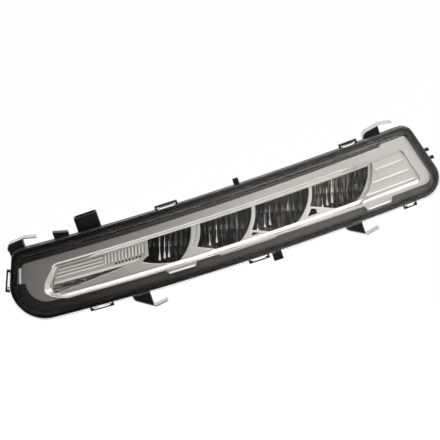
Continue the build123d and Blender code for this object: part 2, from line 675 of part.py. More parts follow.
def make_housing():
    """Black box: rim channel, ledge, walls, loops, lugs, peg, blocks, ribs and bosses."""
    channel = layer(rim(CHANNEL_INSET), LENS_FLANGE, LEDGE_BACK)
    channel -= layer(rim(GROOVE_INNER + CHANNEL_WALL), LENS_FLANGE, LEDGE_DEPTH)
    channel -= layer(rim(GROOVE_OUTER) - rim(GROOVE_INNER), LENS_FLANGE, GROOVE_FLOOR)
    opening = bezel_outline(LEDGE_LAP) + recess_outline(0, RECESS_WALL + FIT)
    channel -= layer(opening, LEDGE_DEPTH, LEDGE_BACK)
    shell = layer(rim(SHELL_INSET), LEDGE_BACK, SHELL_BACK)
    shell -= layer(rim(SHELL_INSET + SHELL_WALL), LEDGE_BACK, SHELL_INSIDE)
    slot = block(SHELF_LEFT - SHELF_CLEARANCE, SHELF_RIGHT + SHELF_CLEARANCE,
                 BOARD_TOP - SHELF_CLEARANCE, SHELF_TOP + SHELF_CLEARANCE)
    shell -= layer(slot, SHELL_INSIDE, SHELL_BACK)
    housing = channel + shell
    for loop in loops():
        housing += layer(loop, LOOP_FRONT, LOOP_BACK)
    for z in RIGHT_NUBS:
        x = right_edge(z, CHANNEL_INSET)
        nub = block(x - CHANNEL_WALL, x + NUB_LENGTH, z - NUB_HEIGHT / 2, z + NUB_HEIGHT / 2)
        housing += layer(nub - rim(CHANNEL_INSET + CHANNEL_WALL / 2), LOOP_FRONT, LOOP_BACK)
    core = rim(SHELL_INSET + SHELL_WALL / 2)
    for lug in LUGS.values():
        housing += layer(lug_face(*lug) - core, LUG_FRONT, LUG_BACK)
    for outline in block_faces():
        housing += layer(outline - core, BLOCK_FRONT, BLOCK_BACK)
    for outline in rim_rib_faces():
        housing += layer(outline - core, LEDGE_BACK, RIB_BACK)
    first_rib = BACK_RIB_PLACE - HALF_LENGTH
    for index in range(1 + int((SINK_LEFT - BACK_RIB_CLEARANCE - first_rib) // BACK_RIB_PITCH)):
        x = first_rib + index * BACK_RIB_PITCH
        rib = block(x - RIB_THICKNESS / 2, x + RIB_THICKNESS / 2, -SHELL_CEILING, SHELL_CEILING)
        housing += layer(rib, SHELL_BACK, SHELL_BACK + BACK_RIB_HEIGHT)
    housing += make_peg()
    for x, z in sink_screw_places():
        length = SHELL_BACK - SCREW_END + FIT
        post = Cylinder(BOSS_RADIUS, length + BOSS_ROOF - SHELL_WALL / 2, align=BASE, rotation=FORWARD)
        hole = Cylinder(SCREW_RADIUS + SCREW_FIT, 2 * length, rotation=FORWARD)
        housing += station(x, SHELL_BACK, z) * Pos(0, -SHELL_WALL / 2, 0) * post
        housing -= station(x, SHELL_BACK, z) * hole
    for place in driver_screw_places():
        post = Cylinder(DRIVER_BOSS_RADIUS, SHELL_CEILING - DRIVER_TOP + SHELL_WALL / 2, align=BASE)
        housing += place * post
        hole = Cylinder(DRIVER_SCREW_RADIUS + SCREW_FIT, DRIVER_SCREW_LENGTH, align=BASE)
        housing -= place * hole
    opening = Box(SOCKET_LENGTH - 2 * NECK_MARGIN + 2 * FIT, SOCKET_WIDTH - 2 * NECK_MARGIN + 2 * FIT,
                  3 * SHELL_WALL)
    housing -= socket_place(SHELL_TOP) * opening
    spout = Cylinder(BREATHER_BORE + BREATHER_WALL, BREATHER_LENGTH, align=BASE, rotation=REARWARD)
    root = station(BREATHER_X, SHELL_BACK, BREATHER_Z)
    housing += root * Pos(0, -SHELL_WALL / 2, 0) * spout
    housing -= root * Cylinder(BREATHER_BORE, 3 * BREATHER_LENGTH, rotation=REARWARD)
    return housing


def block_faces():
    """Front-view faces of the slanted block on top and the stop block below."""
    left = TOP_BLOCK_X - TOP_BLOCK_LENGTH / 2
    right = TOP_BLOCK_X + TOP_BLOCK_LENGTH / 2
    slanted = Polyline((left, 0), (left, TOP_BLOCK_HEIGHT),
                       (right, TOP_BLOCK_HEIGHT - TOP_BLOCK_SLANT), (right, 0), close=True)
    stop = block(BOTTOM_BLOCK_X - BOTTOM_BLOCK_LENGTH / 2, BOTTOM_BLOCK_X + BOTTOM_BLOCK_LENGTH / 2,
                 BOTTOM_BLOCK_HEIGHT, 0)
    return [make_face(slanted), stop]


def rim_rib_faces():
    """Front-view faces of the short ribs that stiffen the rim from behind."""
    faces = []
    reach = left_edge(HALF_HEIGHT, TOP_LEFT_RADIUS + SHELL_INSET)
    count = int((right_edge(HALF_HEIGHT, TOP_RIGHT_RADIUS + SHELL_INSET) - reach) // RIB_PITCH)
    tall = SHELL_TOP + RIB_RISE
    for index in range(count + 1):
        x = reach + index * RIB_PITCH
        faces.append(block(x - RIB_THICKNESS / 2, x + RIB_THICKNESS / 2, -tall, tall))
    return faces


def make_peg():
    """Locating peg on the rim's top edge."""
    foot = HALF_HEIGHT - CHANNEL_INSET - CHANNEL_WALL / 2
    peg = Cylinder(PEG_RADIUS, PEG_TOP - foot, align=BASE)
    return Pos(PEG_X, plan_y(PEG_X, PEG_DEPTH), foot) * peg


def make_bezel():
    """Silver frame: border with tabs, stepped recess, window plate, lip and ribs."""
    border = bezel_outline(0)
    for centre, length, reach in BOTTOM_TABS:
        border += bottom_tab(centre, length, reach)
    border += left_tab()
    bezel = layer(border, BEZEL_FACE, LEDGE_DEPTH)
    bezel += layer(recess_outline(0, RECESS_WALL), BEZEL_FACE, PLATE_BACK)
    bezel -= layer(recess_outline(0, 0), BEZEL_FACE - 1, BEZEL_FACE + RECESS_STEP_DEPTH)
    bezel -= layer(recess_outline(RECESS_STEP, 0), BEZEL_FACE, PLATE_FACE)
    bezel += (sill_lip(PLATE_FACE, LIP_RISE) + recess_slope()) & column(recess_outline(0, 0))
    bezel += layer(field(0), FIELD_FACE, PLATE_BACK)
    bezel += sill_lip(FIELD_FACE, FIELD_LIP) & column(field(0))
    bezel -= layer(field(-PLATE_THICKNESS), FIELD_FACE + PLATE_THICKNESS, PLATE_BACK)
    for outline in windows() + gusset_pockets():
        bezel -= layer(outline, BEZEL_FACE, PLATE_BACK)
    bezel -= layer(marker_window(0), BEZEL_FACE, PLATE_BACK)
    bezel -= layer(fin_groove(), PLATE_FACE - 1, PLATE_FACE + FIN_GROOVE_DEPTH)
    for z in FIELD_RIBS:
        bezel += layer(field_rib(z), FIELD_FACE - FIELD_RIB_HEIGHT, FIELD_FACE)
    return bezel


def sill_lip(face, rise):
    """Lip that slopes up from the recess's bottom wall to a face at a depth."""
    sill = -HALF_HEIGHT + RECESS_BOTTOM_GAP
    return ribbon([(face - rise, sill), (face, sill + rise), (face, sill)])


def recess_slope():
    """Sloping left wall of the recess, leaning as the rim's left end does."""
    left = left_edge(0, RECESS_LEFT_GAP)
    foot = left + RECESS_LEFT_SLOPE
    foot_y = plan_y(foot, PLATE_FACE)
    points = [
        (left, plan_y(left, BEZEL_FACE)),
        (foot, foot_y),
        (left - RECESS_LEFT_SLOPE, foot_y + RECESS_DEPTH),
    ]
    lean = (tan(radians(LEFT_LEAN)), 0, 1)
    wall = extrude(make_face(Polyline(*points, close=True)), RIM_HEIGHT, dir=lean, both=True)
    return wall & slab(BEZEL_FACE, PLATE_FACE)


def field(grow):
    """Front-view face of the plain field, a gap right of the last window's side."""
    side = right_swoosh(WINDOW_RIGHTS[-1])
    centre = side.arc_center
    right_part = block(centre.X, HALF_LENGTH, -HALF_HEIGHT, HALF_HEIGHT)
    window_end = Pos(centre.X, centre.Y) * Circle(side.radius + FIELD_GAP - grow)
    return (recess_outline(RECESS_STEP, grow) & right_part) - window_end


def bottom_tab(centre, length, reach):
    """Front-view face of a tab on the bezel's bottom edge."""
    left = centre - length / 2
    right = centre + length / 2
    share = (centre + HALF_LENGTH) / RIM_LENGTH
    edge = -HALF_HEIGHT + BEZEL_BOTTOM_LEFT_GAP
    edge += share * (BEZEL_BOTTOM_RIGHT_GAP - BEZEL_BOTTOM_LEFT_GAP)
    low = edge - reach
    points = [(left - reach / 2, edge + 1), (right + reach / 2, edge + 1), (right, low), (left, low)]
    return make_face(Polyline(*points, close=True))


def left_tab():
    """Front-view face of the tab on the bezel's left edge, leaning as the rim does."""
    low = LEFT_TAB_HEIGHT - LEFT_TAB_LENGTH / 2
    high = LEFT_TAB_HEIGHT + LEFT_TAB_LENGTH / 2
    edge = -HALF_LENGTH + BEZEL_LEFT_GAP
    lean = tan(radians(LEFT_LEAN))
    points = [
        (edge + 1, high),
        (edge - LEFT_TAB_REACH + LEFT_TAB_LENGTH / 2 * lean, high),
        (edge - LEFT_TAB_REACH - LEFT_TAB_LENGTH / 2 * lean, low),
        (edge + 1, low),
    ]
    return make_face(Polyline(*points, close=True))


def fin_groove():
    """Front-view face of the groove down the wide fin between the first two windows."""
    x = WINDOW_RIGHTS[0] + FIN_GROOVE_INSET
    face = swoosh_window(x, x + FIN_GROOVE_WIDTH)
    return face - below_gusset(WINDOW_LEFTS[1], GUSSET_FEET[0], 0)


def field_rib(z):
    """Front-view face of a rib on the plain field, right of the last window."""
    drop = (WINDOW_TOP - z) / WINDOW_HEIGHT
    left = WINDOW_RIGHTS[-1] - SWOOSH_REACH * max(drop, 0) ** 2 + FIELD_RIB_LEFT_GAP
    right = right_edge(z, RECESS_RIGHT_GAP) - FIELD_RIB_RIGHT_GAP
    return block(left, right, z - FIELD_RIB_WIDTH / 2, z + FIELD_RIB_WIDTH / 2)


def roller(radius, length, flutes):
    """Faceted body whose outside shapes a reflector, ridged by flutes if there are any."""
    steps = 2 * flutes if flutes else 1
    sections = []
    for index in range(steps + 1):
        place = Plane((index * length / steps - length / 2, 0, 0), x_dir=(0, 1, 0), z_dir=(1, 0, 0))
        crest = FLUTE_DEPTH if flutes and index % 2 else 0
        sections.append(place * RegularPolygon(radius + crest, FACETS_ROUND))
    return loft(sections, ruled=True)


def make_reflector(index):
    """Thin fluted cup behind one window, open at the front and slotted above for the light."""
    window = windows()[index]
    left = WINDOW_LEFTS[index]
    right = WINDOW_RIGHTS[index]
    centre = (left + right - SWOOSH_REACH) / 2
    place = station(centre, REFLECTOR_AXIS_DEPTH, REFLECTOR_AXIS_HEIGHT) * Rot(0, FLUTE_LEAN, 0)
    flutes = int((right - left + 2 * SWOOSH_REACH) // FLUTE_PITCH)
    length = flutes * FLUTE_PITCH
    outer = place * roller(REFLECTOR_RADIUS + FLUTE_DEPTH + REFLECTOR_BACK, length, 0)
    inner = place * roller(REFLECTOR_RADIUS, length, flutes)
    grown = offset(window, REFLECTOR_WALL)
    cup = layer(grown, PLATE_BACK, REFLECTOR_REAR) & outer
    cup -= column(window) & inner
    slot = Box(LED_SLOT, LED_SLOT, 4 * REFLECTOR_WALL)
    return largest(cup - station(led_x(index), LED_DEPTH, WINDOW_TOP + REFLECTOR_WALL) * slot)


def largest(shape):
    """The main solid of a cut piece."""
    return Part() + shape.solids().sort_by(SortBy.VOLUME)[-1]


def led_x(index):
    """Place of a light source along the lamp: above the middle of its window."""
    return (WINDOW_LEFTS[index] + WINDOW_RIGHTS[index]) / 2


def make_drl_board():
    """Curved strip board that roofs the reflectors."""
    return layer(block(BOARD_LEFT, BOARD_RIGHT, BOARD_BOTTOM, BOARD_TOP), BOARD_FRONT, BOARD_BACK)


def make_drl_leds():
    """Light sources under the strip board, one above each reflector."""
    package = Box(LED_SIZE, LED_SIZE, LED_HEIGHT, align=(Align.CENTER, Align.CENTER, Align.MAX))
    return [station(led_x(index), LED_DEPTH, BOARD_BOTTOM) * package for index in range(4)]


def make_heat_sink():
    """Cast sink: shelf over the strip board, base on the back wall and upright fins."""
    sink = layer(block(SHELF_LEFT, SHELF_RIGHT, BOARD_TOP, SHELF_TOP), BOARD_FRONT, SINK_FACE)
    sink += layer(sink_base_face(), SINK_FACE, SINK_BACK)
    first = SINK_LEFT + 2 * SCREW_INSET + SCREW_HEAD_RADIUS
    step = (SINK_RIGHT - SINK_LEFT - 2 * (first - SINK_LEFT)) / (SINK_FIN_COUNT - 1)
    for index in range(SINK_FIN_COUNT):
        x = first + index * step
        fin = block(x - SINK_FIN_THICKNESS / 2, x + SINK_FIN_THICKNESS / 2, SINK_BOTTOM, SINK_TOP)
        sink += layer(fin, SINK_BACK, SINK_BACK + SINK_FIN_LENGTH)
    for x, z in sink_screw_places():
        hole = Cylinder(SCREW_RADIUS + SCREW_FIT, 4 * SINK_BASE, rotation=FORWARD)
        sink -= station(x, SHELL_BACK, z) * hole
    return sink


def sink_base_face():
    """Front-view face of the sink's base."""
    base = block(SINK_LEFT, SINK_RIGHT, SINK_BOTTOM, SINK_TOP)
    return fillet(base.vertices(), SCREW_INSET)


def make_sink_seal():
    """Flat ring between the back wall and the sink, round the shelf's slot."""
    inset = SCREW_INSET + SCREW_RADIUS + SINK_SEAL
    left = SINK_LEFT + inset
    right = SINK_RIGHT - inset
    top = SINK_TOP - SINK_SEAL
    bottom = SINK_BOTTOM + SINK_SEAL
    ring = block(left, right, bottom, top)
    ring -= block(left + SINK_SEAL_WIDTH, right - SINK_SEAL_WIDTH,
                  bottom + SINK_SEAL_WIDTH, top - SINK_SEAL_WIDTH)
    return layer(ring, SHELL_BACK, SINK_FACE)


def sink_screw_places():
    """Places of the sink's two screws, at mid height near its ends."""
    height = (SINK_BOTTOM + SINK_TOP) / 2
    return [(SINK_LEFT + SCREW_INSET, height), (SINK_RIGHT - SCREW_INSET, height)]


def make_sink_screws():
    """Hexagon screws from the rear through the sink's base into the housing's bosses."""
    shank = Cylinder(SCREW_RADIUS, SCREW_LENGTH, align=BASE, rotation=FORWARD)
    screw = shank + Rot(*REARWARD) * extrude(RegularPolygon(SCREW_HEAD_RADIUS, 6), SCREW_HEAD)
    seat = Pos(0, SINK_BACK + SCREW_FIT - SHELL_BACK, 0)
    return [station(x, SHELL_BACK, z) * seat * screw for x, z in sink_screw_places()]


def make_marker_optic():
    """Clear plate behind the marker window, with upright ribs, long bars and notches."""
    optic = layer(marker_optic_face(OPTIC_LAP), PLATE_BACK, PLATE_BACK + OPTIC_THICKNESS)
    face = marker_optic_face(-OPTIC_RIB_FIT)
    top = WINDOW_TOP - MARKER_TOP_DROP
    last = WINDOW_LEFTS[0] - MARKER_FIN - OPTIC_RIB_PITCH / 2
    ribs = []
    for index in range(OPTIC_RIB_COUNT):
        x = last - index * OPTIC_RIB_PITCH
        half = OPTIC_RIB_WIDTH / 2
        foot = x - OPTIC_RIB_LEAN
        points = [(x - half, top), (x + half, top), (foot + half, OPTIC_RIB_FOOT),
                  (foot - half, OPTIC_RIB_FOOT)]
        ribs.append(make_face(Polyline(*points, close=True)) & face)
    bar_end = last - OPTIC_RIB_COUNT * OPTIC_RIB_PITCH
    for drop in OPTIC_BAR_DROPS:
        z = WINDOW_TOP - drop
        bar = block(-HALF_LENGTH, bar_end, z - OPTIC_BAR_WIDTH / 2, z + OPTIC_BAR_WIDTH / 2)
        ribs.append(bar & face)
    for rib in ribs:
        optic += layer(rib, PLATE_BACK - OPTIC_RIB_HEIGHT, PLATE_BACK)
    for index in range(OPTIC_NOTCH_COUNT):
        x = last - (index + 2) * OPTIC_RIB_PITCH
        notch = Pos(x, WINDOW_TOP - OPTIC_NOTCH_DROP) * Rectangle(OPTIC_NOTCH, OPTIC_NOTCH)
        optic -= layer(notch, PLATE_BACK - 1, PLATE_BACK + OPTIC_THICKNESS / 2)
    return optic


def marker_hollow():
    """Band that the marker reflector's hollow takes up, with a stair of bright steps behind."""
    bottom = MARKER_LOW_LEFT - MARKER_WALL
    points = [(BEZEL_FACE, WINDOW_TOP), (MARKER_REAR, WINDOW_TOP)]
    for index in range(1, MARKER_STEPS + 1):
        share = index / MARKER_STEPS
        height = WINDOW_TOP + share * (bottom - WINDOW_TOP)
        depth = MARKER_REAR + share * (MARKER_FORE - MARKER_REAR)
        points += [(depth + MARKER_STEP_BACK, height), (depth, height)]
    points.append((BEZEL_FACE, bottom))
    return ribbon(points)


def marker_envelope():
    """Band that the marker reflector's outside fits in, one shell's thickness behind its steps."""
    push = MARKER_STEP_BACK + MARKER_SHELL
    low = MARKER_LOW_LEFT - 2 * MARKER_WALL
    return ribbon([
        (BEZEL_FACE, SHELL_CEILING),
        (MARKER_REAR + MARKER_SHELL, SHELL_CEILING),
        (MARKER_REAR + MARKER_SHELL, MARKER_LED_Z - MARKER_BOARD_HEIGHT / 2),
        (MARKER_FORE + push, low),
        (BEZEL_FACE, low),
    ])


def make_marker_reflector():
    """Bright stepped reflector behind the marker window, with holes for its light sources."""
    cup = layer(marker_window(MARKER_WALL), PLATE_BACK, SHELL_INSIDE) & marker_envelope()
    cup -= column(marker_window(0)) & marker_hollow()
    cup -= layer(marker_optic_face(OPTIC_LAP + FIT), PLATE_BACK, PLATE_BACK + OPTIC_THICKNESS)
    for place in marker_led_places(MARKER_REAR):
        cup -= place * Box(2 * MARKER_LED_SIZE, 4 * MARKER_SHELL, 2 * MARKER_LED_SIZE)
    return largest(cup)


def marker_led_places(depth):
    """Places of the marker's light sources at a depth."""
    left, right = marker_board_ends()
    pitch = (right - left) / MARKER_LED_COUNT
    return [station(left + (index + 0.5) * pitch, depth, MARKER_LED_Z)
            for index in range(MARKER_LED_COUNT)]


def marker_board_ends():
    """X of the marker board's two ends, a margin inside the marker window's top corners."""
    left = left_edge(WINDOW_TOP, RECESS_LEFT_GAP + MARKER_LEFT_GAP)
    return left + MARKER_BOARD_MARGIN, WINDOW_LEFTS[0] - MARKER_BOARD_MARGIN


def make_marker_board():
    """Small board on the rear of the marker reflector."""
    left, right = marker_board_ends()
    rise = MARKER_BOARD_HEIGHT / 2
    face = block(left, right, MARKER_LED_Z - rise, MARKER_LED_Z + rise)
    return layer(face, MARKER_BOARD_FACE, MARKER_BOARD_FACE + BOARD_THICKNESS)


def make_marker_leds():
    """Light sources on the marker board, facing forward through the reflector."""
    package = Box(MARKER_LED_SIZE, LED_HEIGHT, MARKER_LED_SIZE,
                  align=(Align.CENTER, Align.MAX, Align.CENTER))
    return [place * package for place in marker_led_places(MARKER_BOARD_FACE)]


def make_connector_body():
    """Plug socket on the top wall, open upwards, with a neck through the wall."""
    body = Box(SOCKET_LENGTH, SOCKET_WIDTH, SOCKET_TOP - SHELL_TOP, align=BASE)
    body = fillet(body.edges().filter_by(Axis.Z), SOCKET_CORNER)
    hollow = Box(SOCKET_LENGTH - 2 * SOCKET_WALL, SOCKET_WIDTH - 2 * SOCKET_WALL, SOCKET_CAVITY,
                 align=(Align.CENTER, Align.CENTER, Align.MAX))
    body -= Pos(0, 0, SOCKET_TOP - SHELL_TOP) * hollow
    neck = Box(SOCKET_LENGTH - 2 * NECK_MARGIN, SOCKET_WIDTH - 2 * NECK_MARGIN, SHELL_WALL + FIT,
               align=(Align.CENTER, Align.CENTER, Align.MAX))
    body = socket_place(SHELL_TOP) * (body + neck)
    for x in terminal_xs():
        slot = Box(TERMINAL_THICKNESS + 2 * TERMINAL_FIT, TERMINAL_WIDTH + 2 * TERMINAL_FIT,
                   2 * (SOCKET_TOP - SHELL_TOP))
        body -= socket_place(SHELL_TOP) * Pos(x, 0, 0) * slot
    return body


def socket_place(z):
    """Place on the socket's upright middle line."""
    return Pos(SOCKET_X, plan_y(SOCKET_X, SOCKET_DEPTH), z)


def terminal_xs():
    """Places of the blade terminals along the socket, from its middle."""
    first = -TERMINAL_PITCH * (TERMINAL_COUNT - 1) / 2
    return [first + index * TERMINAL_PITCH for index in range(TERMINAL_COUNT)]


def make_terminals():
    """Blades from the driver board up into the plug socket."""
    blade = Box(TERMINAL_THICKNESS, TERMINAL_WIDTH, TERMINAL_TOP - DRIVER_HEIGHT, align=BASE)
    return [socket_place(DRIVER_HEIGHT) * Pos(x, 0, 0) * blade for x in terminal_xs()]


def driver_screw_places():
    """Places on the driver board's upper face that its screws hold."""
    depth = (DRIVER_FRONT + DRIVER_BACK) / 2
    return [station(SOCKET_X + side * DRIVER_SCREW_PITCH / 2, depth, DRIVER_TOP) for side in (-1, 1)]


def make_driver_board():
    """Board under the plug socket, holding the terminals."""
    face = block(SOCKET_X - DRIVER_LENGTH / 2, SOCKET_X + DRIVER_LENGTH / 2, DRIVER_HEIGHT, DRIVER_TOP)
    board = layer(face, DRIVER_FRONT, DRIVER_BACK)
    for x in terminal_xs():
        slot = Box(TERMINAL_THICKNESS + 2 * TERMINAL_FIT, TERMINAL_WIDTH + 2 * TERMINAL_FIT,
                   4 * BOARD_THICKNESS)
        board -= socket_place(DRIVER_HEIGHT) * Pos(x, 0, 0) * slot
    for place in driver_screw_places():
        board -= place * Cylinder(DRIVER_SCREW_RADIUS + SCREW_FIT, 4 * BOARD_THICKNESS)
    return board


def make_board_screws():
    """Hexagon screws from below that hold the driver board to its bosses."""
    length = DRIVER_SCREW_LENGTH + BOARD_THICKNESS - FIT
    shank = Pos(0, 0, -BOARD_THICKNESS) * Cylinder(DRIVER_SCREW_RADIUS, length, align=BASE)
    head = extrude(RegularPolygon(DRIVER_SCREW_HEAD_RADIUS, 6), -DRIVER_SCREW_HEAD)
    screw = shank + Pos(0, 0, -BOARD_THICKNESS) * head
    return [place * screw for place in driver_screw_places()]


def make_jumper_strip():
    """Flat strip on edge that links the driver board to the strip board."""
    left = SOCKET_X + DRIVER_LENGTH / 2 - JUMPER_LANDING
    right = BOARD_LEFT + JUMPER_LANDING - FIT
    face = block(left, right, BOARD_TOP, DRIVER_HEIGHT)
    return layer(face, JUMPER_DEPTH, JUMPER_DEPTH + JUMPER_THICKNESS)


def make_breather_cap():
    """Soft cap over the breather spout."""
    cap = Cylinder(BREATHER_CAP_RADIUS, BREATHER_CAP_LENGTH, align=BASE, rotation=REARWARD)
    bore = Cylinder(BREATHER_BORE + BREATHER_WALL + BREATHER_FIT,
                    BREATHER_CAP_LENGTH - BREATHER_CAP_ROOF, align=BASE, rotation=REARWARD)
    return station(BREATHER_X, SHELL_BACK, BREATHER_Z) * Pos(0, BREATHER_FIT, 0) * (cap - bore)


def make_clip(lug):
    """Spring steel clip over a lug, with a leaf that grips the bumper's edge."""
    return layer(clip_face(*lug), LUG_FRONT + CLIP_SETBACK, LUG_BACK - CLIP_SETBACK)


def save(name, shape):
    """Write one node, made of one solid or of a group of them."""
    solids = shape if isinstance(shape, list) else [shape]
    whole = solids[0] if len(solids) == 1 else Compound(children=solids)
    export_step(whole, f"parts/{name}.step")


save("lens", make_lens())
save("lens_seal", make_seal())
save("housing", make_housing())
save("bezel", make_bezel())
for number in range(4):
    save(f"reflector_{number + 1}", make_reflector(number))
save("drl_board", make_drl_board())
save("drl_leds", make_drl_leds())
save("heat_sink", make_heat_sink())
save("heat_sink_seal", make_sink_seal())
save("heat_sink_screws", make_sink_screws())
save("marker_optic", make_marker_optic())
save("marker_reflector", make_marker_reflector())
save("marker_board", make_marker_board())
save("marker_leds", make_marker_leds())
save("connector_body", make_connector_body())
save("connector_terminals", make_terminals())
save("driver_board", make_driver_board())
save("board_screws", make_board_screws())
save("jumper_strip", make_jumper_strip())
save("breather_cap", make_breather_cap())
for corner, lug in LUGS.items():
    save(f"clip_{corner}", make_clip(lug))
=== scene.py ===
"""Looks of a daytime running light for a car's bumper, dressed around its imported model.

Every place is in metres in the model's own frame: the lens faces -Y, +X runs to the right of
someone facing it and +Z is up.
"""

import logging
import math
from dataclasses import dataclass
from enum import Enum

import bmesh
import bpy
from mathutils import Matrix, Vector


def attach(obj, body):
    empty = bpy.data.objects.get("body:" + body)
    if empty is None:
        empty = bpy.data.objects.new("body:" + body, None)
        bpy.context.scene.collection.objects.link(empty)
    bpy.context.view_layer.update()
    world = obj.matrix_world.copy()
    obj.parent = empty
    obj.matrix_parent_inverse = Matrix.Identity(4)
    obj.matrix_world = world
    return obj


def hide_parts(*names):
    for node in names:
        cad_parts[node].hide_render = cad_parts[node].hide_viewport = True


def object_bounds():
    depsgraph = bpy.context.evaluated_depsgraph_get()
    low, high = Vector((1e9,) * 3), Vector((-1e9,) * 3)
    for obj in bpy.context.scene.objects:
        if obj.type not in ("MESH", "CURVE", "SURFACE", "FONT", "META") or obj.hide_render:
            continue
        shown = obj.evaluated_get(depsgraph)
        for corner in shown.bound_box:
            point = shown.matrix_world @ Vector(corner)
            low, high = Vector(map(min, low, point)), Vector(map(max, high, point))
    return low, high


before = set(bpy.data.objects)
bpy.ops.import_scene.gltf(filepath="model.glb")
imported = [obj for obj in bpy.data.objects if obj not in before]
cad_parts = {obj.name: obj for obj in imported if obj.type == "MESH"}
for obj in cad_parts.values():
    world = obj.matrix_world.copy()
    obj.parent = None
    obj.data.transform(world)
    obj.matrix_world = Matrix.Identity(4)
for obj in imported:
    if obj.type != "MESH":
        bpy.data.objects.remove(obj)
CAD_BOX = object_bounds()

LOG = logging.getLogger("lamp")
BODY = "root"
MM = 0.001

LAMP_LEFT = CAD_BOX[0].x
LAMP_LENGTH = CAD_BOX[1].x - CAD_BOX[0].x

# The circle that the lamp's layers follow in plan. Depth is measured inwards from it.
PLAN_RADIUS = 515 * MM
PLAN_CENTRE = Vector((47 * MM, 512.85 * MM, 0.0))

# Points closer than this become one.
MERGE = 0.002 * MM

# Angles between two faces: below FLAT they become one face, below JOINT a loosened move does away with the
# edge between them, above SHARP the edge is rounded, and above CREASE it isn't shaded over.
FLAT = math.radians(0.3)
JOINT = math.radians(3)
SHARP = math.radians(28)
CREASE = math.radians(40)

# Steps of a rounding on plain edges, on trim and on chosen groups of edges.
EDGE_STEPS = 2
TRIM_STEPS = 3
GROUP_STEPS = 4

Colour = tuple[float, float, float]
Stops = tuple[tuple[float, float], ...]

BLACK: Colour = (0.0, 0.0, 0.0)
WHITE: Colour = (1.0, 1.0, 1.0)


class Op(Enum):
    """Sums that a Math node does."""

    ADD = "ADD"
    SUBTRACT = "SUBTRACT"
    MULTIPLY = "MULTIPLY"
    MAXIMUM = "MAXIMUM"
    POWER = "POWER"
    SINE = "SINE"
    ABSOLUTE = "ABSOLUTE"


class Ray(Enum):
    """Kinds of ray that a Light Path node tells apart."""

    CAMERA = "Is Camera Ray"
    GLOSSY = "Is Glossy Ray"
    TRANSMISSION = "Is Transmission Ray"
    SHADOW = "Is Shadow Ray"
    DIFFUSE = "Is Diffuse Ray"


class Slot(Enum):
    """Material slots of the record."""

    CLEAR_COVER = "clear_cover"
    CLEAR_OPTIC = "clear_optic"
    BLACK_PLASTIC = "black_plastic"
    SOCKET_PLASTIC = "socket_plastic"
    RUBBER = "rubber"
    SILVER_PAINT = "silver_paint"
    CAST_ALUMINIUM = "cast_aluminium"
    SPRING_STEEL = "spring_steel"
    STEEL = "steel"


class Softness(Enum):
    """How far an edge is rounded over, in metres."""

    CRISP = 0.12 * MM
    MOULDED = 0.25 * MM
    ROUND = 0.40 * MM


class Wire:
    """A shader socket that takes part in Python sums."""

    def __init__(self, graph: "Graph", socket: bpy.types.NodeSocket) -> None:
        """Keep the socket and the graph that new nodes go into."""
        self.graph = graph
        self.socket = socket

    def __add__(self, other: "Wire | float") -> "Wire":
        """This plus other."""
        return self.graph.sum(Op.ADD, self, other)

    def __radd__(self, other: float) -> "Wire":
        """A number plus this."""
        return self.graph.sum(Op.ADD, other, self)

    def __sub__(self, other: "Wire | float") -> "Wire":
        """This minus other."""
        return self.graph.sum(Op.SUBTRACT, self, other)

    def __rsub__(self, other: float) -> "Wire":
        """A number minus this."""
        return self.graph.sum(Op.SUBTRACT, other, self)

    def __mul__(self, other: "Wire | float") -> "Wire":
        """This times other."""
        return self.graph.sum(Op.MULTIPLY, self, other)

    def __rmul__(self, other: float) -> "Wire":
        """A number times this."""
        return self.graph.sum(Op.MULTIPLY, other, self)

    def swing(self, amount: float) -> "Wire":
        """This level from 0 to 1 as a swing about 0 that is an amount from end to end."""
        return (self - 0.5) * amount


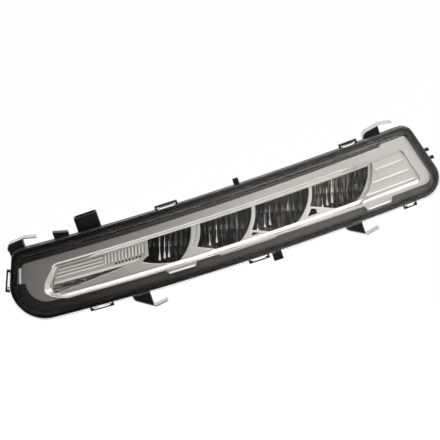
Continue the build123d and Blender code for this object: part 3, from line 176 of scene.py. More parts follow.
class Graph:
    """Node tree of one material or of the world."""

    def __init__(self, tree: bpy.types.NodeTree) -> None:
        """Start from an empty tree."""
        self.tree = tree
        tree.nodes.clear()

    def node(self, kind: str, settings: dict | None = None, sockets: dict | None = None,
             output: int | str | None = 0) -> Wire | None:
        """Add a node.

        Args:
            kind: the node's type.
            settings: its properties, and "stops" for a ramp's places and levels.
            sockets: numbers, colours or wires for its inputs, by name or index.
            output: the output that is handed back, None for a node without one.

        Returns:
            The wire of that output.
        """
        made = self.tree.nodes.new(kind)
        for name, value in (settings or {}).items():
            if name == "stops":
                self._set_stops(made.color_ramp, value)
            else:
                setattr(made, name, value)
        for name, value in (sockets or {}).items():
            if isinstance(value, Wire):
                self.tree.links.new(value.socket, made.inputs[name])
            else:
                made.inputs[name].default_value = value
        return None if output is None else Wire(self, made.outputs[output])

    @staticmethod
    def _set_stops(ramp: bpy.types.ColorRamp, stops: Stops) -> None:
        """Give a ramp its grey stops.

        Args:
            ramp: a new node's ramp.
            stops: a place and a level each.
        """
        while len(ramp.elements) < len(stops):
            ramp.elements.new(1.0)
        for element, (place, level) in zip(ramp.elements, stops):
            element.position = place
            element.color = (level, level, level, 1.0)

    def sum(self, op: Op, first: Wire | float, second: Wire | float = 0.0) -> Wire:
        """Add a Math node on two values."""
        return self.node("ShaderNodeMath", {"operation": op.value}, {0: first, 1: second})

    def span(self, value: Wire, start: float, length: float) -> Wire:
        """How far a value is along a length from a start: 0 there and 1 at the end."""
        return (value - start) * (1.0 / length)

    def coordinates(self, stretch: tuple[float, float, float] = (1, 1, 1), lean: float = 0.0) -> Wire:
        """Object coordinates, turned about Y to lean to the right and then drawn out along each axis."""
        place = self.node("ShaderNodeTexCoord", output="Object")
        return self.node("ShaderNodeMapping", {"vector_type": "TEXTURE"},
                         {"Vector": place, "Scale": stretch, "Rotation": (0, lean, 0)})

    def axis(self, place: Wire, name: str) -> Wire:
        """One of the numbers X, Y and Z of a vector."""
        return self.node("ShaderNodeSeparateXYZ", None, {0: place}, name)

    def reach(self) -> Wire:
        """How far a point lies from the lamp's left end, as a share of the lamp's length."""
        return self.span(self.axis(self.coordinates(), "X"), LAMP_LEFT, LAMP_LENGTH)

    def depth(self) -> Wire:
        """How far a point lies behind the plan curve that the lamp's layers follow.

        Returns:
            The depth in metres, below 0 in front of the curve.
        """
        place = self.coordinates()
        across = self.axis(place, "X") - PLAN_CENTRE.x
        along = self.axis(place, "Y") - PLAN_CENTRE.y
        return PLAN_RADIUS - self.sum(Op.POWER, across * across + along * along, 0.5)

    def forward(self) -> Wire:
        """How far a surface faces the front: 1 straight ahead, 0 sideways and -1 to the back."""
        return self.axis(self.node("ShaderNodeTexCoord", output="Normal"), "Y") * -1.0

    def noise(self, place: Wire, size: float, detail: float = 2.0) -> Wire:
        """Cloudy noise from 0 to 1 with spots of about a size in metres."""
        return self.node("ShaderNodeTexNoise", None,
                         {"Vector": place, "Scale": 1.0 / size, "Detail": detail}, "Fac")

    def cells(self, place: Wire, size: float) -> Wire:
        """A random level from 0 to 1 for each small cell of about a size in metres."""
        colour = self.node("ShaderNodeTexVoronoi", None, {"Vector": place, "Scale": 1.0 / size}, "Color")
        return self.node("ShaderNodeSeparateColor", None, {0: colour}, "Red")

    def ramp(self, value: Wire, stops: Stops) -> Wire:
        """Bend a value through grey stops."""
        return self.node("ShaderNodeValToRGB", {"stops": stops}, {"Fac": value}, "Color")

    def blend(self, share: Wire, first: Colour | Wire, second: Colour | Wire) -> Wire:
        """Mix two colours by a share."""
        ends = [end if isinstance(end, Wire) else (*end, 1.0) for end in (first, second)]
        return self.node("ShaderNodeMix", {"data_type": "RGBA"}, {0: share, 6: ends[0], 7: ends[1]}, 2)

    def bump(self, height: Wire, depth: float, strength: float = 1.0) -> Wire:
        """Surface direction of a relief whose height of 1 is a depth in metres."""
        return self.node("ShaderNodeBump", None,
                         {"Height": height, "Distance": depth, "Strength": strength})

    def surface(self, **sockets: object) -> Wire:
        """Add a Principled surface.

        Args:
            sockets: values for its inputs, with underscores for the spaces in their names.

        Returns:
            Its shader.
        """
        named = {name.replace("_", " "): value for name, value in sockets.items()}
        if isinstance(named["Base Color"], tuple):
            named["Base Color"] = (*named["Base Color"], 1.0)
        return self.node("ShaderNodeBsdfPrincipled", None, named)

    def plain(self, kind: str, colour: Colour, strength: float | None = None) -> Wire:
        """A shader of one colour all over, with a strength where its kind has one."""
        sockets = {"Color": (*colour, 1.0)}
        return self.node(kind, None, sockets if strength is None else {**sockets, "Strength": strength})

    def seen(self, *rays: Ray) -> Wire:
        """Tell some kinds of ray from the rest.

        Args:
            rays: the kinds of ray.

        Returns:
            1 for those and 0 for the others.
        """
        path = self.node("ShaderNodeLightPath").socket.node
        share = Wire(self, path.outputs[rays[0].value])
        for ray in rays[1:]:
            share = self.sum(Op.MAXIMUM, share, Wire(self, path.outputs[ray.value]))
        return share

    def mix(self, share: Wire, first: Wire, second: Wire) -> Wire:
        """Mix two shaders by a share."""
        return self.node("ShaderNodeMixShader", None, {0: share, 1: first, 2: second})


def scaled(colour: Colour, factor: float) -> Colour:
    """A colour made darker or lighter by a factor."""
    return tuple(channel * factor for channel in colour)


@dataclass(frozen=True)
class Finish:
    """A procedural finish with a name of its own."""

    name: str

    def paint(self, graph: Graph) -> Wire:
        """Build the nodes of this finish.

        Args:
            graph: the material's empty tree.

        Returns:
            The shader that covers the surface.
        """
        raise NotImplementedError

    def material(self) -> bpy.types.Material:
        """Make the finish a material, once.

        Returns:
            The material that pieces are given.
        """
        title = f"finish_{self.name}"
        made = bpy.data.materials.get(title)
        if made is None:
            made = bpy.data.materials.new(title)
            made.use_nodes = True
            graph = Graph(made.node_tree)
            graph.node("ShaderNodeOutputMaterial", None, {"Surface": self.paint(graph)}, None)
        return made


@dataclass(frozen=True)
class MouldedPlastic(Finish):
    """Opaque moulded plastic with a fine grain and soft clouds."""

    colour: Colour
    roughness: float
    grain: float = 0.35 * MM
    relief: float = 0.02 * MM
    sheen: float = 0.5
    grain_gloss: float = 0.1
    cloud: float = 30 * MM
    cloud_gloss: float = 0.12
    cloud_lift: float = 1.5

    def paint(self, graph: Graph) -> Wire:
        """Put the grain in the relief, and the clouds in colour and gloss.

        Args:
            graph: the material's empty tree.

        Returns:
            The shader that covers the surface.
        """
        place = graph.coordinates()
        grain = graph.noise(place, self.grain, detail=3.0)
        cloud = graph.noise(place, self.cloud)
        colour = graph.blend(cloud, self.colour, scaled(self.colour, self.cloud_lift))
        return graph.surface(
            Base_Color=self.shade(graph, colour),
            Roughness=self.roughness + cloud.swing(self.cloud_gloss) + grain.swing(self.grain_gloss),
            Specular_IOR_Level=self.sheen,
            Normal=graph.bump(grain, self.relief),
        )

    def shade(self, graph: Graph, colour: Wire) -> Wire:
        """The colour all over, which a kind of plastic may change in places."""
        return colour


@dataclass(frozen=True)
class LedgePlastic(MouldedPlastic):
    """Moulded plastic with painted light on the ledge behind the cover: a painted grey that grows lighter to
    the right.
    """

    # left and right are the ledge's painted light, darker at the left end and lighter at the right.
    left: Colour = (0.032, 0.030, 0.029)
    right: Colour = (0.190, 0.176, 0.167)
    painted_lightening: Stops = ((0.1, 0.0), (0.75, 1.0))
    ledge_front: float = 8.4 * MM
    ledge_depth: float = 0.4 * MM
    layer: Stops = ((0.0, 0.0), (0.1, 1.0), (0.9, 1.0), (1.0, 0.0))
    facing: Stops = ((0.80, 0.0), (0.86, 1.0))

    def shade(self, graph: Graph, colour: Wire) -> Wire:
        """Paint light, as a grey that grows lighter to the right, on what faces forward at the ledge's depth.

        Args:
            graph: the material's tree.
            colour: the colour of the rest.

        Returns:
            The colour all over.
        """
        # Painted light: the ledge grey lightens to the right, and only what faces forward at the ledge's
        # depth gets it.
        ledge = graph.blend(graph.ramp(graph.reach(), self.painted_lightening), self.left, self.right)
        level = graph.ramp(graph.span(graph.depth(), self.ledge_front, self.ledge_depth), self.layer)
        return graph.blend(level * graph.ramp(graph.forward(), self.facing), colour, ledge)


@dataclass(frozen=True)
class SatinSilver(Finish):
    """Silver paint with fine metal flakes, and a painted highlight on the rounded edges and slopes of the
    recess.

    The stops are shares of a length from a start: slopes and shallow go by depth, right_side by X and
    heights by Z. Flat levels of the frame lie where the slopes are at 0.
    """

    colour: Colour
    # edge is the colour of the painted highlight on rounded edges and slopes.
    edge: Colour
    roughness: float
    metal: float
    flake: float = 0.18 * MM
    flake_share: float = 0.7
    flake_gloss: float = 0.1
    flake_relief: float = 0.004 * MM
    cloud: float = 22 * MM
    cloud_gloss: float = 0.05
    dimming: float = 0.86
    highlight_metal_loss: float = 0.4
    depth_span: tuple[float, float] = (6 * MM, 8 * MM)
    slopes: Stops = ((0.0825, 0.0), (0.0925, 1.0), (0.338, 1.0), (0.343, 0.0), (0.357, 0.0), (0.362, 1.0),
                     (0.4125, 1.0), (0.42, 0.0), (0.4325, 0.0), (0.4425, 1.0), (0.86, 1.0), (0.87, 0.35))
    shallow: Stops = ((0.22, 0.45), (0.23, 0.0))
    width_span: tuple[float, float] = (-200 * MM, 400 * MM)
    right_side: Stops = ((0.76, 0.0), (0.77, 1.0))
    right_loss: float = 0.75
    height_span: tuple[float, float] = (-30 * MM, 60 * MM)
    heights: Stops = ((0.25, 0.3), (0.28, 1.0), (0.72, 1.0), (0.74, 0.0))

    def paint(self, graph: Graph) -> Wire:
        """Give each flake its own brightness and tilt, and paint a highlight on what slopes.

        Args:
            graph: the material's empty tree.

        Returns:
            The shader that covers the surface.
        """
        place = graph.coordinates()
        flake = graph.cells(place, self.flake)
        cloud = graph.noise(place, self.cloud)
        mottle = flake * self.flake_share + cloud * (1.0 - self.flake_share)
        flat = graph.blend(mottle, scaled(self.colour, self.dimming), self.colour)
        # share is where the highlight is painted.
        share = self._painted_highlight(graph)
        return graph.surface(
            Base_Color=graph.blend(share, flat, self.edge),
            Metallic=self.metal - share * self.highlight_metal_loss,
            Roughness=self.roughness + flake.swing(self.flake_gloss) + cloud.swing(self.cloud_gloss),
            Normal=graph.bump(flake, self.flake_relief),
        )

    def _painted_highlight(self, graph: Graph) -> Wire:
        """Tell slopes and rounded edges, which get the painted highlight, from the flat levels of the frame.

        Args:
            graph: the material's tree.

        Returns:
            The share of painted highlight: 1 on slopes, 0 on flat levels, and less in the ribbed field at the
                right.
        """
        place = graph.coordinates()
        level = graph.span(graph.depth(), *self.depth_span)
        between = graph.ramp(level, self.slopes)
        shallow = graph.ramp(level, self.shallow)
        right = graph.ramp(graph.span(graph.axis(place, "X"), *self.width_span), self.right_side)
        height = graph.ramp(graph.span(graph.axis(place, "Z"), *self.height_span), self.heights)
        return between * (1.0 - right * (self.right_loss - shallow)) * height


@dataclass(frozen=True)
class PaintedGlint:
    """Painted highlight of a glint on a flute, from a place on the cup's floor: a bright foot that thins out
    as it climbs the cup.
    """

    x: float
    height: float
    z: float = -11.5 * MM
    width: float = 1.0 * MM


@dataclass(frozen=True)
class FlutedMirror(Finish):
    """Smoked mirror coat, with painted reflections drawn out in streaks along leaning flutes.

    The outline is a glint's half width, as a share, by how far it has climbed.
    """

    dark: Colour
    # light is the colour of the painted streak reflections.
    light: Colour
    painted_glint_colour: Colour
    glints: tuple[PaintedGlint, ...]
    roughness: float = 0.2
    metal: float = 0.45
    lean: float = math.radians(19)
    pitch: float = 4.2 * MM
    stretch: tuple[float, float, float] = (1.0, 10.0, 12.0)
    painted_glow: float = 0.4
    fineness: float = 0.25
    patch: float = 12 * MM
    fine_share: float = 0.55
    broad_share: float = 0.25
    patch_share: float = 0.2
    streaks: Stops = ((0.44, 0.0), (0.52, 0.2), (0.60, 1.0))
    gloss: float = 0.1
    relief: float = 0.12 * MM
    outline: Stops = ((0.0, 0.0), (0.04, 1.0), (0.16, 0.75), (0.3, 0.35), (0.85, 0.25), (1.0, 0.0))
    edge: float = 4.0
    cover: Stops = ((0.0, 0.0), (1.0, 0.9))

    def paint(self, graph: Graph) -> Wire:
        """Paint reflections as fine and broad streaks down the flutes, with a few painted glints.

        Args:
            graph: the material's empty tree.

        Returns:
            The shader that covers the surface.
        """
        along = graph.coordinates(self.stretch, self.lean)
        fine = graph.noise(along, self.pitch * self.fineness, detail=1.0)
        broad = graph.noise(along, self.pitch, detail=1.0)
        patch = graph.noise(graph.coordinates(), self.patch)
        level = fine * self.fine_share + broad * self.broad_share + patch * self.patch_share
        painted_glint_share = self._painted_glint_share(graph, self.glints[0])
        for glint in self.glints[1:]:
            painted_glint_share = graph.sum(Op.MAXIMUM, painted_glint_share, self._painted_glint_share(graph, glint))
        # The streaks are painted reflections, from dark to light.
        coat = graph.blend(graph.ramp(level, self.streaks), self.dark, self.light)
        return graph.surface(
            Base_Color=graph.blend(painted_glint_share, coat, self.painted_glint_colour),
            Metallic=self.metal,
            Roughness=self.roughness + broad.swing(self.gloss),
            # The painted glints also glow, though no lamp is there.
            Emission_Color=graph.blend(painted_glint_share, BLACK, scaled(self.painted_glint_colour, self.painted_glow)),
            Emission_Strength=1.0,
            Normal=graph.bump(fine, self.relief),
        )

    def _painted_glint_share(self, graph: Graph, glint: PaintedGlint) -> Wire:
        """Draw a painted glint: a wide foot, then a spike.

        Args:
            graph: the material's tree.
            glint: where it stands.

        Returns:
            How much of it covers each point.
        """
        place = graph.coordinates(lean=self.lean)
        sine = math.sin(self.lean)
        cosine = math.cos(self.lean)
        across = graph.axis(place, "X") - (glint.x * cosine - glint.z * sine)
        climb = graph.axis(place, "Z") - (glint.x * sine + glint.z * cosine)
        half = graph.ramp(climb * (1.0 / glint.height), self.outline)
        inside = half - graph.sum(Op.ABSOLUTE, across) * (1.0 / glint.width)
        return graph.ramp(inside * self.edge, self.cover)


@dataclass(frozen=True)
class ClearPlastic(Finish):
    """Clear moulded plastic that light passes through, with a hard coat on its faces.

    The coat gains to the right. The walls between the raised face and the flange are bare.
    """

    colour: Colour
    clearness: float = 1.0
    shine: float = 0.2
    shine_gain: float = 0.6
    roughness: float = 0.02
    index: float = 1.03
    haze: float = 5 * MM
    wall_front: float = -5.92 * MM
    wall_depth: float = 5.92 * MM
    coated: Stops = ((0.0, 1.0), (0.005, 0.0), (0.995, 0.0), (1.0, 1.0))

    def paint(self, graph: Graph) -> Wire:
        """Bend what is seen through it a little, and let light fall on what lies behind.

        Args:
            graph: the material's empty tree.

        Returns:
            The shader that covers the surface.
        """
        haze = graph.noise(graph.coordinates(), self.haze)
        sunk = graph.span(graph.depth(), self.wall_front, self.wall_depth)
        shine = self.shine + graph.reach() * self.shine_gain
        clear = graph.surface(
            Base_Color=self.colour,
            Roughness=self.roughness * (0.5 + haze),
            IOR=self.index,
            Transmission_Weight=self.clearness,
            Coat_Weight=shine * graph.ramp(sunk, self.coated),
            Coat_Roughness=self.roughness,
        )
        open_way = graph.plain("ShaderNodeBsdfTransparent", self.colour)
        return graph.mix(graph.seen(Ray.SHADOW, Ray.DIFFUSE), clear, open_way)


@dataclass(frozen=True)
class RibbedOptic(Finish):
    """Frosted clear plastic with a painted highlight on its ribs, painted shade on the ground between them,
    and notches darkened as painted shade.

    The stops are shares of a span: valleys and notches behind the crests' depth, rise above the foot.
    """

    # ground is painted shade, crest is painted highlight and notch is painted shade.
    ground: Colour
    crest: Colour
    notch: Colour = (0.03, 0.03, 0.03)
    crest_depth: float = 13.5 * MM
    foot: float = -5.6 * MM
    span: float = 4.0 * MM
    valleys: Stops = ((0.08, 0.0), (0.36, 1.0))
    notches: Stops = ((0.43, 0.0), (0.48, 1.0), (0.68, 1.0), (0.75, 0.0))
    rise: Stops = ((0.25, 0.0), (0.29, 1.0))
    pillow: float = 1.7 * MM
    pillow_share: float = 0.06
    pillow_relief: float = 0.10 * MM
    haze: float = 6 * MM
    haze_gloss: float = 0.1
    roughness: float = 0.3
    index: float = 1.3
    clearness: float = 0.25
    coat: float = 0.6
    coat_roughness: float = 0.15

    def paint(self, graph: Graph) -> Wire:
        """Paint a highlight on the crests and along the foot and shade in the valleys and notches, by depth,
        with small pillows on the ground.

        Args:
            graph: the material's empty tree.

        Returns:
            The shader that covers the surface.
        """
        place = graph.coordinates()
        turns = 2 * math.pi / self.pillow
        waves = [graph.sum(Op.SINE, graph.axis(place, name) * turns) for name in ("X", "Z")]
        pillow = waves[0] * waves[1]
        haze = graph.noise(place, self.haze)
        sunk = graph.span(graph.depth(), self.crest_depth, self.span)
        above = graph.span(graph.axis(place, "Z"), self.foot, self.span)
        # Painted shade in the valleys, with a painted highlight along the foot.
        painted_valley_shade = graph.ramp(sunk + pillow * self.pillow_share, self.valleys) * graph.ramp(above, self.rise)
        ribbed = graph.blend(painted_valley_shade, self.crest, self.ground)
        return graph.surface(
            # The notches get painted shade.
            Base_Color=graph.blend(graph.ramp(sunk, self.notches), ribbed, self.notch),
            Normal=graph.bump(pillow, self.pillow_relief),
            Roughness=self.roughness + haze.swing(self.haze_gloss),
            IOR=self.index,
            Transmission_Weight=self.clearness,
            Coat_Weight=self.coat,
            Coat_Roughness=self.coat_roughness,
        )


@dataclass(frozen=True)
class RolledSteel(Finish):
    """Bright sheet or turned metal with fine lines from rolling, drawn out along an axis."""

    colour: Colour
    roughness: float
    stretch: tuple[float, float, float] = (12.0, 1.0, 1.0)
    line: float = 1.5 * MM
    line_share: float = 0.5
    line_gloss: float = 0.2
    line_relief: float = 0.01 * MM
    cloud: float = 8 * MM
    dimming: float = 0.75

    def paint(self, graph: Graph) -> Wire:
        """Lay long fine lines in gloss and relief.

        Args:
            graph: the material's empty tree.

        Returns:
            The shader that covers the surface.
        """
        lines = graph.noise(graph.coordinates(self.stretch), self.line, detail=3.0)
        cloud = graph.noise(graph.coordinates(), self.cloud)
        mottle = lines * self.line_share + cloud * (1.0 - self.line_share)
        return graph.surface(
            Base_Color=graph.blend(mottle, scaled(self.colour, self.dimming), self.colour),
            Metallic=1.0,
            Roughness=self.roughness + lines.swing(self.line_gloss),
            Normal=graph.bump(lines, self.line_relief),
        )


@dataclass(frozen=True)
class CastMetal(Finish):
    """Raw cast metal with a dull skin."""

    colour: Colour
    roughness: float
    metal: float = 0.9
    sand: float = 0.5 * MM
    sand_gloss: float = 0.25
    sand_relief: float = 0.05 * MM
    skin: float = 14 * MM
    patches: Stops = ((0.3, 0.0), (0.7, 1.0))
    dimming: float = 0.6

    def paint(self, graph: Graph) -> Wire:
        """Lay a sandy relief and darker patches of skin.

        Args:
            graph: the material's empty tree.

        Returns:
            The shader that covers the surface.
        """
        place = graph.coordinates()
        sand = graph.noise(place, self.sand, detail=4.0)
        skin = graph.ramp(graph.noise(place, self.skin, detail=3.0), self.patches)
        return graph.surface(
            Base_Color=graph.blend(skin, scaled(self.colour, self.dimming), self.colour),
            Metallic=self.metal,
            Roughness=self.roughness + sand.swing(self.sand_gloss),
            Normal=graph.bump(sand, self.sand_relief),
        )


@dataclass(frozen=True)
class BoardMask(Finish):
    """Lacquered circuit board with traces under the lacquer."""

    colour: Colour
    trace: Colour
    field: float = 12 * MM
    gap: float = 0.04
    field_relief: float = 0.03 * MM
    weave: float = 0.6 * MM
    weave_gloss: float = 0.2
    roughness: float = 0.35

    def paint(self, graph: Graph) -> Wire:
        """Let gaps between square fields show through the lacquer.

        Args:
            graph: the material's empty tree.

        Returns:
            The shader that covers the surface.
        """
        place = graph.coordinates()
        gaps = graph.node("ShaderNodeTexBrick", None,
                          {"Vector": place, "Scale": 1.0 / self.field, "Mortar Size": self.gap}, "Fac")
        weave = graph.noise(place, self.weave)
        return graph.surface(
            Base_Color=graph.blend(gaps, self.colour, self.trace),
            Roughness=self.roughness + weave.swing(self.weave_gloss),
            Normal=graph.bump(gaps, self.field_relief, strength=0.5),
        )


@dataclass(frozen=True)
class StageWhite(Finish):
    """Floor that is white to the eye and keeps soft shadows."""

    colour: Colour
    shadow_share: float
    strength: float = 1.06

    def paint(self, graph: Graph) -> Wire:
        """Lay a pale matt surface, mostly replaced by plain white where it is looked at.

        Args:
            graph: the material's empty tree.

        Returns:
            The shader that covers the surface.
        """
        matt = graph.plain("ShaderNodeBsdfDiffuse", self.colour)
        white = graph.plain("ShaderNodeEmission", WHITE, self.strength)
        looked_at = graph.seen(Ray.CAMERA, Ray.GLOSSY, Ray.TRANSMISSION)
        return graph.mix(looked_at * (1.0 - self.shadow_share), matt, white)


@dataclass(frozen=True)
class StageShade(Finish):
    """Card that is dark at its left end and brightens towards white at its right end."""

    left: float
    right: float
    levels: Stops = ((0.60, 0.0), (0.70, 0.1), (0.80, 0.42), (0.91, 0.65), (1.0, 0.9))
    dark: Colour = (0.02, 0.02, 0.02)

    def paint(self, graph: Graph) -> Wire:
        """Let the level grow along X.

        Args:
            graph: the material's empty tree.

        Returns:
            The shader that covers the surface.
        """
        along = graph.span(graph.axis(graph.coordinates(), "X"), self.left, self.right - self.left)
        dark = graph.plain("ShaderNodeBsdfDiffuse", self.dark)
        white = graph.plain("ShaderNodeEmission", WHITE, 1.0)
        return graph.mix(graph.ramp(along, self.levels), dark, white)


# The housing's black plastic, with painted light on its ledge.
BLACK_PLASTIC = LedgePlastic("black_plastic", (0.007, 0.006, 0.0055), 0.42, sheen=0.15)
SOCKET_PLASTIC = MouldedPlastic("socket_plastic", (0.004, 0.004, 0.004), 0.35, grain=0.5 * MM, sheen=0.15)
RUBBER = MouldedPlastic("rubber", (0.016, 0.016, 0.016), 0.7, grain=0.25 * MM)
PHOSPHOR = MouldedPlastic("phosphor", (0.62, 0.46, 0.12), 0.3, grain=0.2 * MM)
AMBER_FILM = MouldedPlastic("amber_film", (0.42, 0.17, 0.03), 0.25, grain=0.8 * MM)

# Near white painted highlight, for the silver's edges and slopes and for the tabs' bars.
PAINTED_HIGHLIGHT = (0.95, 0.94, 0.92)
SILVER_PAINT = SatinSilver("silver_paint", (0.50, 0.49, 0.475), PAINTED_HIGHLIGHT, roughness=0.36, metal=0.85)
# Silver painted near white all over as a painted highlight, for the tabs' bars.
HIGHLIGHT_SILVER = SatinSilver("painted_highlight_silver", PAINTED_HIGHLIGHT, PAINTED_HIGHLIGHT, roughness=0.4, metal=0.4)

# The smoked mirrors' painted streak reflections lighten from the left cup to the right one as painted light,
# each cup with painted glints of its own, which also glow.
PAINTED_GLINT_COLOUR = (0.90, 0.89, 0.85)
SMOKED_DARK = (0.008, 0.007, 0.006)
SMOKED_TINT = (1.0, 0.93, 0.80)
SMOKED_PAINTED_LIGHT = (0.065, 0.14, 0.20, 0.45)
SMOKED_GLINTS = (
    (PaintedGlint(-51 * MM, 19 * MM), PaintedGlint(-47 * MM, 18 * MM), PaintedGlint(-43.5 * MM, 13 * MM)),
    (PaintedGlint(-10.5 * MM, 9 * MM), PaintedGlint(-4.8 * MM, 14 * MM)),
    (PaintedGlint(28 * MM, 5 * MM), PaintedGlint(34 * MM, 10 * MM), PaintedGlint(38.3 * MM, 15 * MM)),
    (PaintedGlint(81 * MM, 8 * MM), PaintedGlint(85 * MM, 14 * MM), PaintedGlint(89.2 * MM, 20 * MM)),
)
SMOKED_MIRRORS = tuple(
    FlutedMirror(f"smoked_mirror_{number}", SMOKED_DARK, scaled(SMOKED_TINT, level), PAINTED_GLINT_COLOUR, glints)
    for number, (level, glints) in enumerate(zip(SMOKED_PAINTED_LIGHT, SMOKED_GLINTS), 1))
# The marker's reflector, with painted streak reflections and one painted glint.
BRIGHT_MIRROR = FlutedMirror(
    "bright_mirror", (0.20, 0.20, 0.19), (0.75, 0.74, 0.71), PAINTED_GLINT_COLOUR,
    (PaintedGlint(-112 * MM, 8 * MM, -13 * MM),), roughness=0.3, metal=0.6, lean=math.radians(8),
    pitch=3.0 * MM, stretch=(12.0, 10.0, 1.0))

CLEAR_COVER = ClearPlastic("clear_cover", (0.985, 0.975, 0.958))
# The marker's optic: painted shade on the ground, painted highlight on the crests.
CLEAR_OPTIC = RibbedOptic("clear_optic", (0.60, 0.59, 0.56), (0.95, 0.95, 0.93))

SPRING_STEEL = RolledSteel("spring_steel", (0.56, 0.55, 0.53), 0.28)
PLATED_STEEL = RolledSteel("plated_steel", (0.62, 0.63, 0.64), 0.3, stretch=(1.0, 4.0, 1.0))
BRASS = RolledSteel("brass", (0.70, 0.56, 0.30), 0.25, stretch=(1.0, 1.0, 12.0))
CAST_METAL = CastMetal("cast_metal", (0.50, 0.51, 0.52), 0.45)
BOARD = BoardMask("board_mask", (0.55, 0.57, 0.55), (0.68, 0.69, 0.66))


def dress_node(name: str, finish: Finish) -> None:
    """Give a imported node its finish.

    Args:
        name: the node.
        finish: what it is dressed with.
    """
    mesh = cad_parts[name].data
    mesh.materials.clear()
    mesh.materials.append(finish.material())
    LOG.info("dressed %s with %s", name, finish.name)


def place_form(name: str, form: bmesh.types.BMesh, finish: Finish) -> bpy.types.Object:
    """Put a finished form in the scene.

    Args:
        name: the object's name.
        form: its shape, which is freed.
        finish: what it is dressed with.

    Returns:
        The new object.
    """
    mesh = bpy.data.meshes.new(name)
    form.to_mesh(mesh)
    form.free()
    mesh.materials.append(finish.material())
    made = bpy.data.objects.new(name, mesh)
    bpy.context.scene.collection.objects.link(made)
    return made


def add_piece(name: str, form: bmesh.types.BMesh, finish: Finish,
              stands_for: tuple[str, ...] = ()) -> bpy.types.Object:
    """Make a finished piece of the object from a form.

    Args:
        name: the piece's name.
        form: its shape, which is freed.
        finish: what it is dressed with.
        stands_for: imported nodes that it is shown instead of.

    Returns:
        The new object, riding on the lamp.
    """
    piece = place_form(name, form, finish)
    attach(piece, BODY)
    if stands_for:
        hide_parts(*stands_for)
    LOG.info("built %s with %s, %d faces", name, finish.name, len(piece.data.polygons))
    return piece


@dataclass(frozen=True)
class EdgeGroup:
    """Outward edges that are rounded by a width of their own, told by where their middles lie."""

    left: float
    right: float
    low: float
    high: float
    width: float

    def holds(self, edge: bmesh.types.BMEdge) -> bool:
        """Whether an edge is one of them."""
        middle = (edge.verts[0].co + edge.verts[1].co) / 2
        return (edge.is_convex and edge.calc_face_angle(0.0) > SHARP
                and self.left < middle.x < self.right and self.low < middle.z < self.high)


@dataclass(frozen=True)
class Drift:
    """Points of a node that move along the plan curve by shifts that change with height.

    Shifts are pairs of a height and a distance. A shift is whole from left to fade and gone at right, and
    whole to the depth near and gone at the depth far, which by default lie behind everything. With loosen,
    flat joints between points that move and points that stay are dissolved first, so that no face folds.
    """

    left: float
    fade: float
    right: float
    shifts: tuple[tuple[float, float], ...]
    near: float = 90 * MM
    far: float = 100 * MM
    loosen: bool = False

    def shape(self, form: bmesh.types.BMesh) -> None:
        """Slide each point along the plan curve, at its own depth.

        Args:
            form: the shape whose points move.
        """
        moved = {point: shift for point in form.verts if abs(shift := self._shift(point.co)) > MERGE}
        if self.loosen:
            joints = [edge for edge in form.edges if (edge.verts[0] in moved) != (edge.verts[1] in moved)
                      and edge.calc_face_angle(1.0) < JOINT]
            bmesh.ops.dissolve_edges(form, edges=joints)
        for point, shift in moved.items():
            radius = (point.co - PLAN_CENTRE).xy.length
            point.co.x += shift
            point.co.y = PLAN_CENTRE.y - math.sqrt(radius ** 2 - (point.co.x - PLAN_CENTRE.x) ** 2)

    def _shift(self, place: Vector) -> float:
        """Work out one point's shift.

        Args:
            place: where the point is.

        Returns:
            How far it moves in X.
        """
        if not self.left < place.x < self.right:
            return 0.0
        depth = PLAN_RADIUS - (place - PLAN_CENTRE).xy.length
        share = (min(1.0, (self.right - place.x) / (self.right - self.fade))
                 * min(1.0, max(0.0, (self.far - depth) / (self.far - self.near))))
        for (low, first), (high, last) in zip(self.shifts, self.shifts[1:]):
            if low <= place.z < high:
                return share * (first + (last - first) * (place.z - low) / (high - low))
        return 0.0


MARKER_LEAN = Drift(left=-143 * MM, fade=-130 * MM, right=-96 * MM,
                    shifts=((0.0, 0.0), (12 * MM, 7.4 * MM)))
CORNER_SPREAD = Drift(left=-143 * MM, fade=-130 * MM, right=-110 * MM,
                      shifts=((-16.4 * MM, 0.0), (-13 * MM, -3.5 * MM), (-9 * MM, -5.0 * MM), (0.0, 0.0)),
                      near=9.4 * MM, far=13 * MM, loosen=True)
TAB_TUCK = Drift(left=-170 * MM, fade=-158.5 * MM, right=-158.4 * MM,
                 shifts=((1.5 * MM, 2.1 * MM), (15 * MM, 2.1 * MM)))


def round_edges(form: bmesh.types.BMesh, edges: list[bmesh.types.BMEdge], width: float, steps: int) -> None:
    """Round edges of a form over a width."""
    bmesh.ops.bevel(form, geom=edges, offset=width, offset_type="OFFSET", segments=steps, profile=0.5,
                    affect="EDGES", material=-1, clamp_overlap=False)


def smooth_faces(form: bmesh.types.BMesh) -> None:
    """Shade all faces of a form smoothly."""
    for face in form.faces:
        face.smooth = True


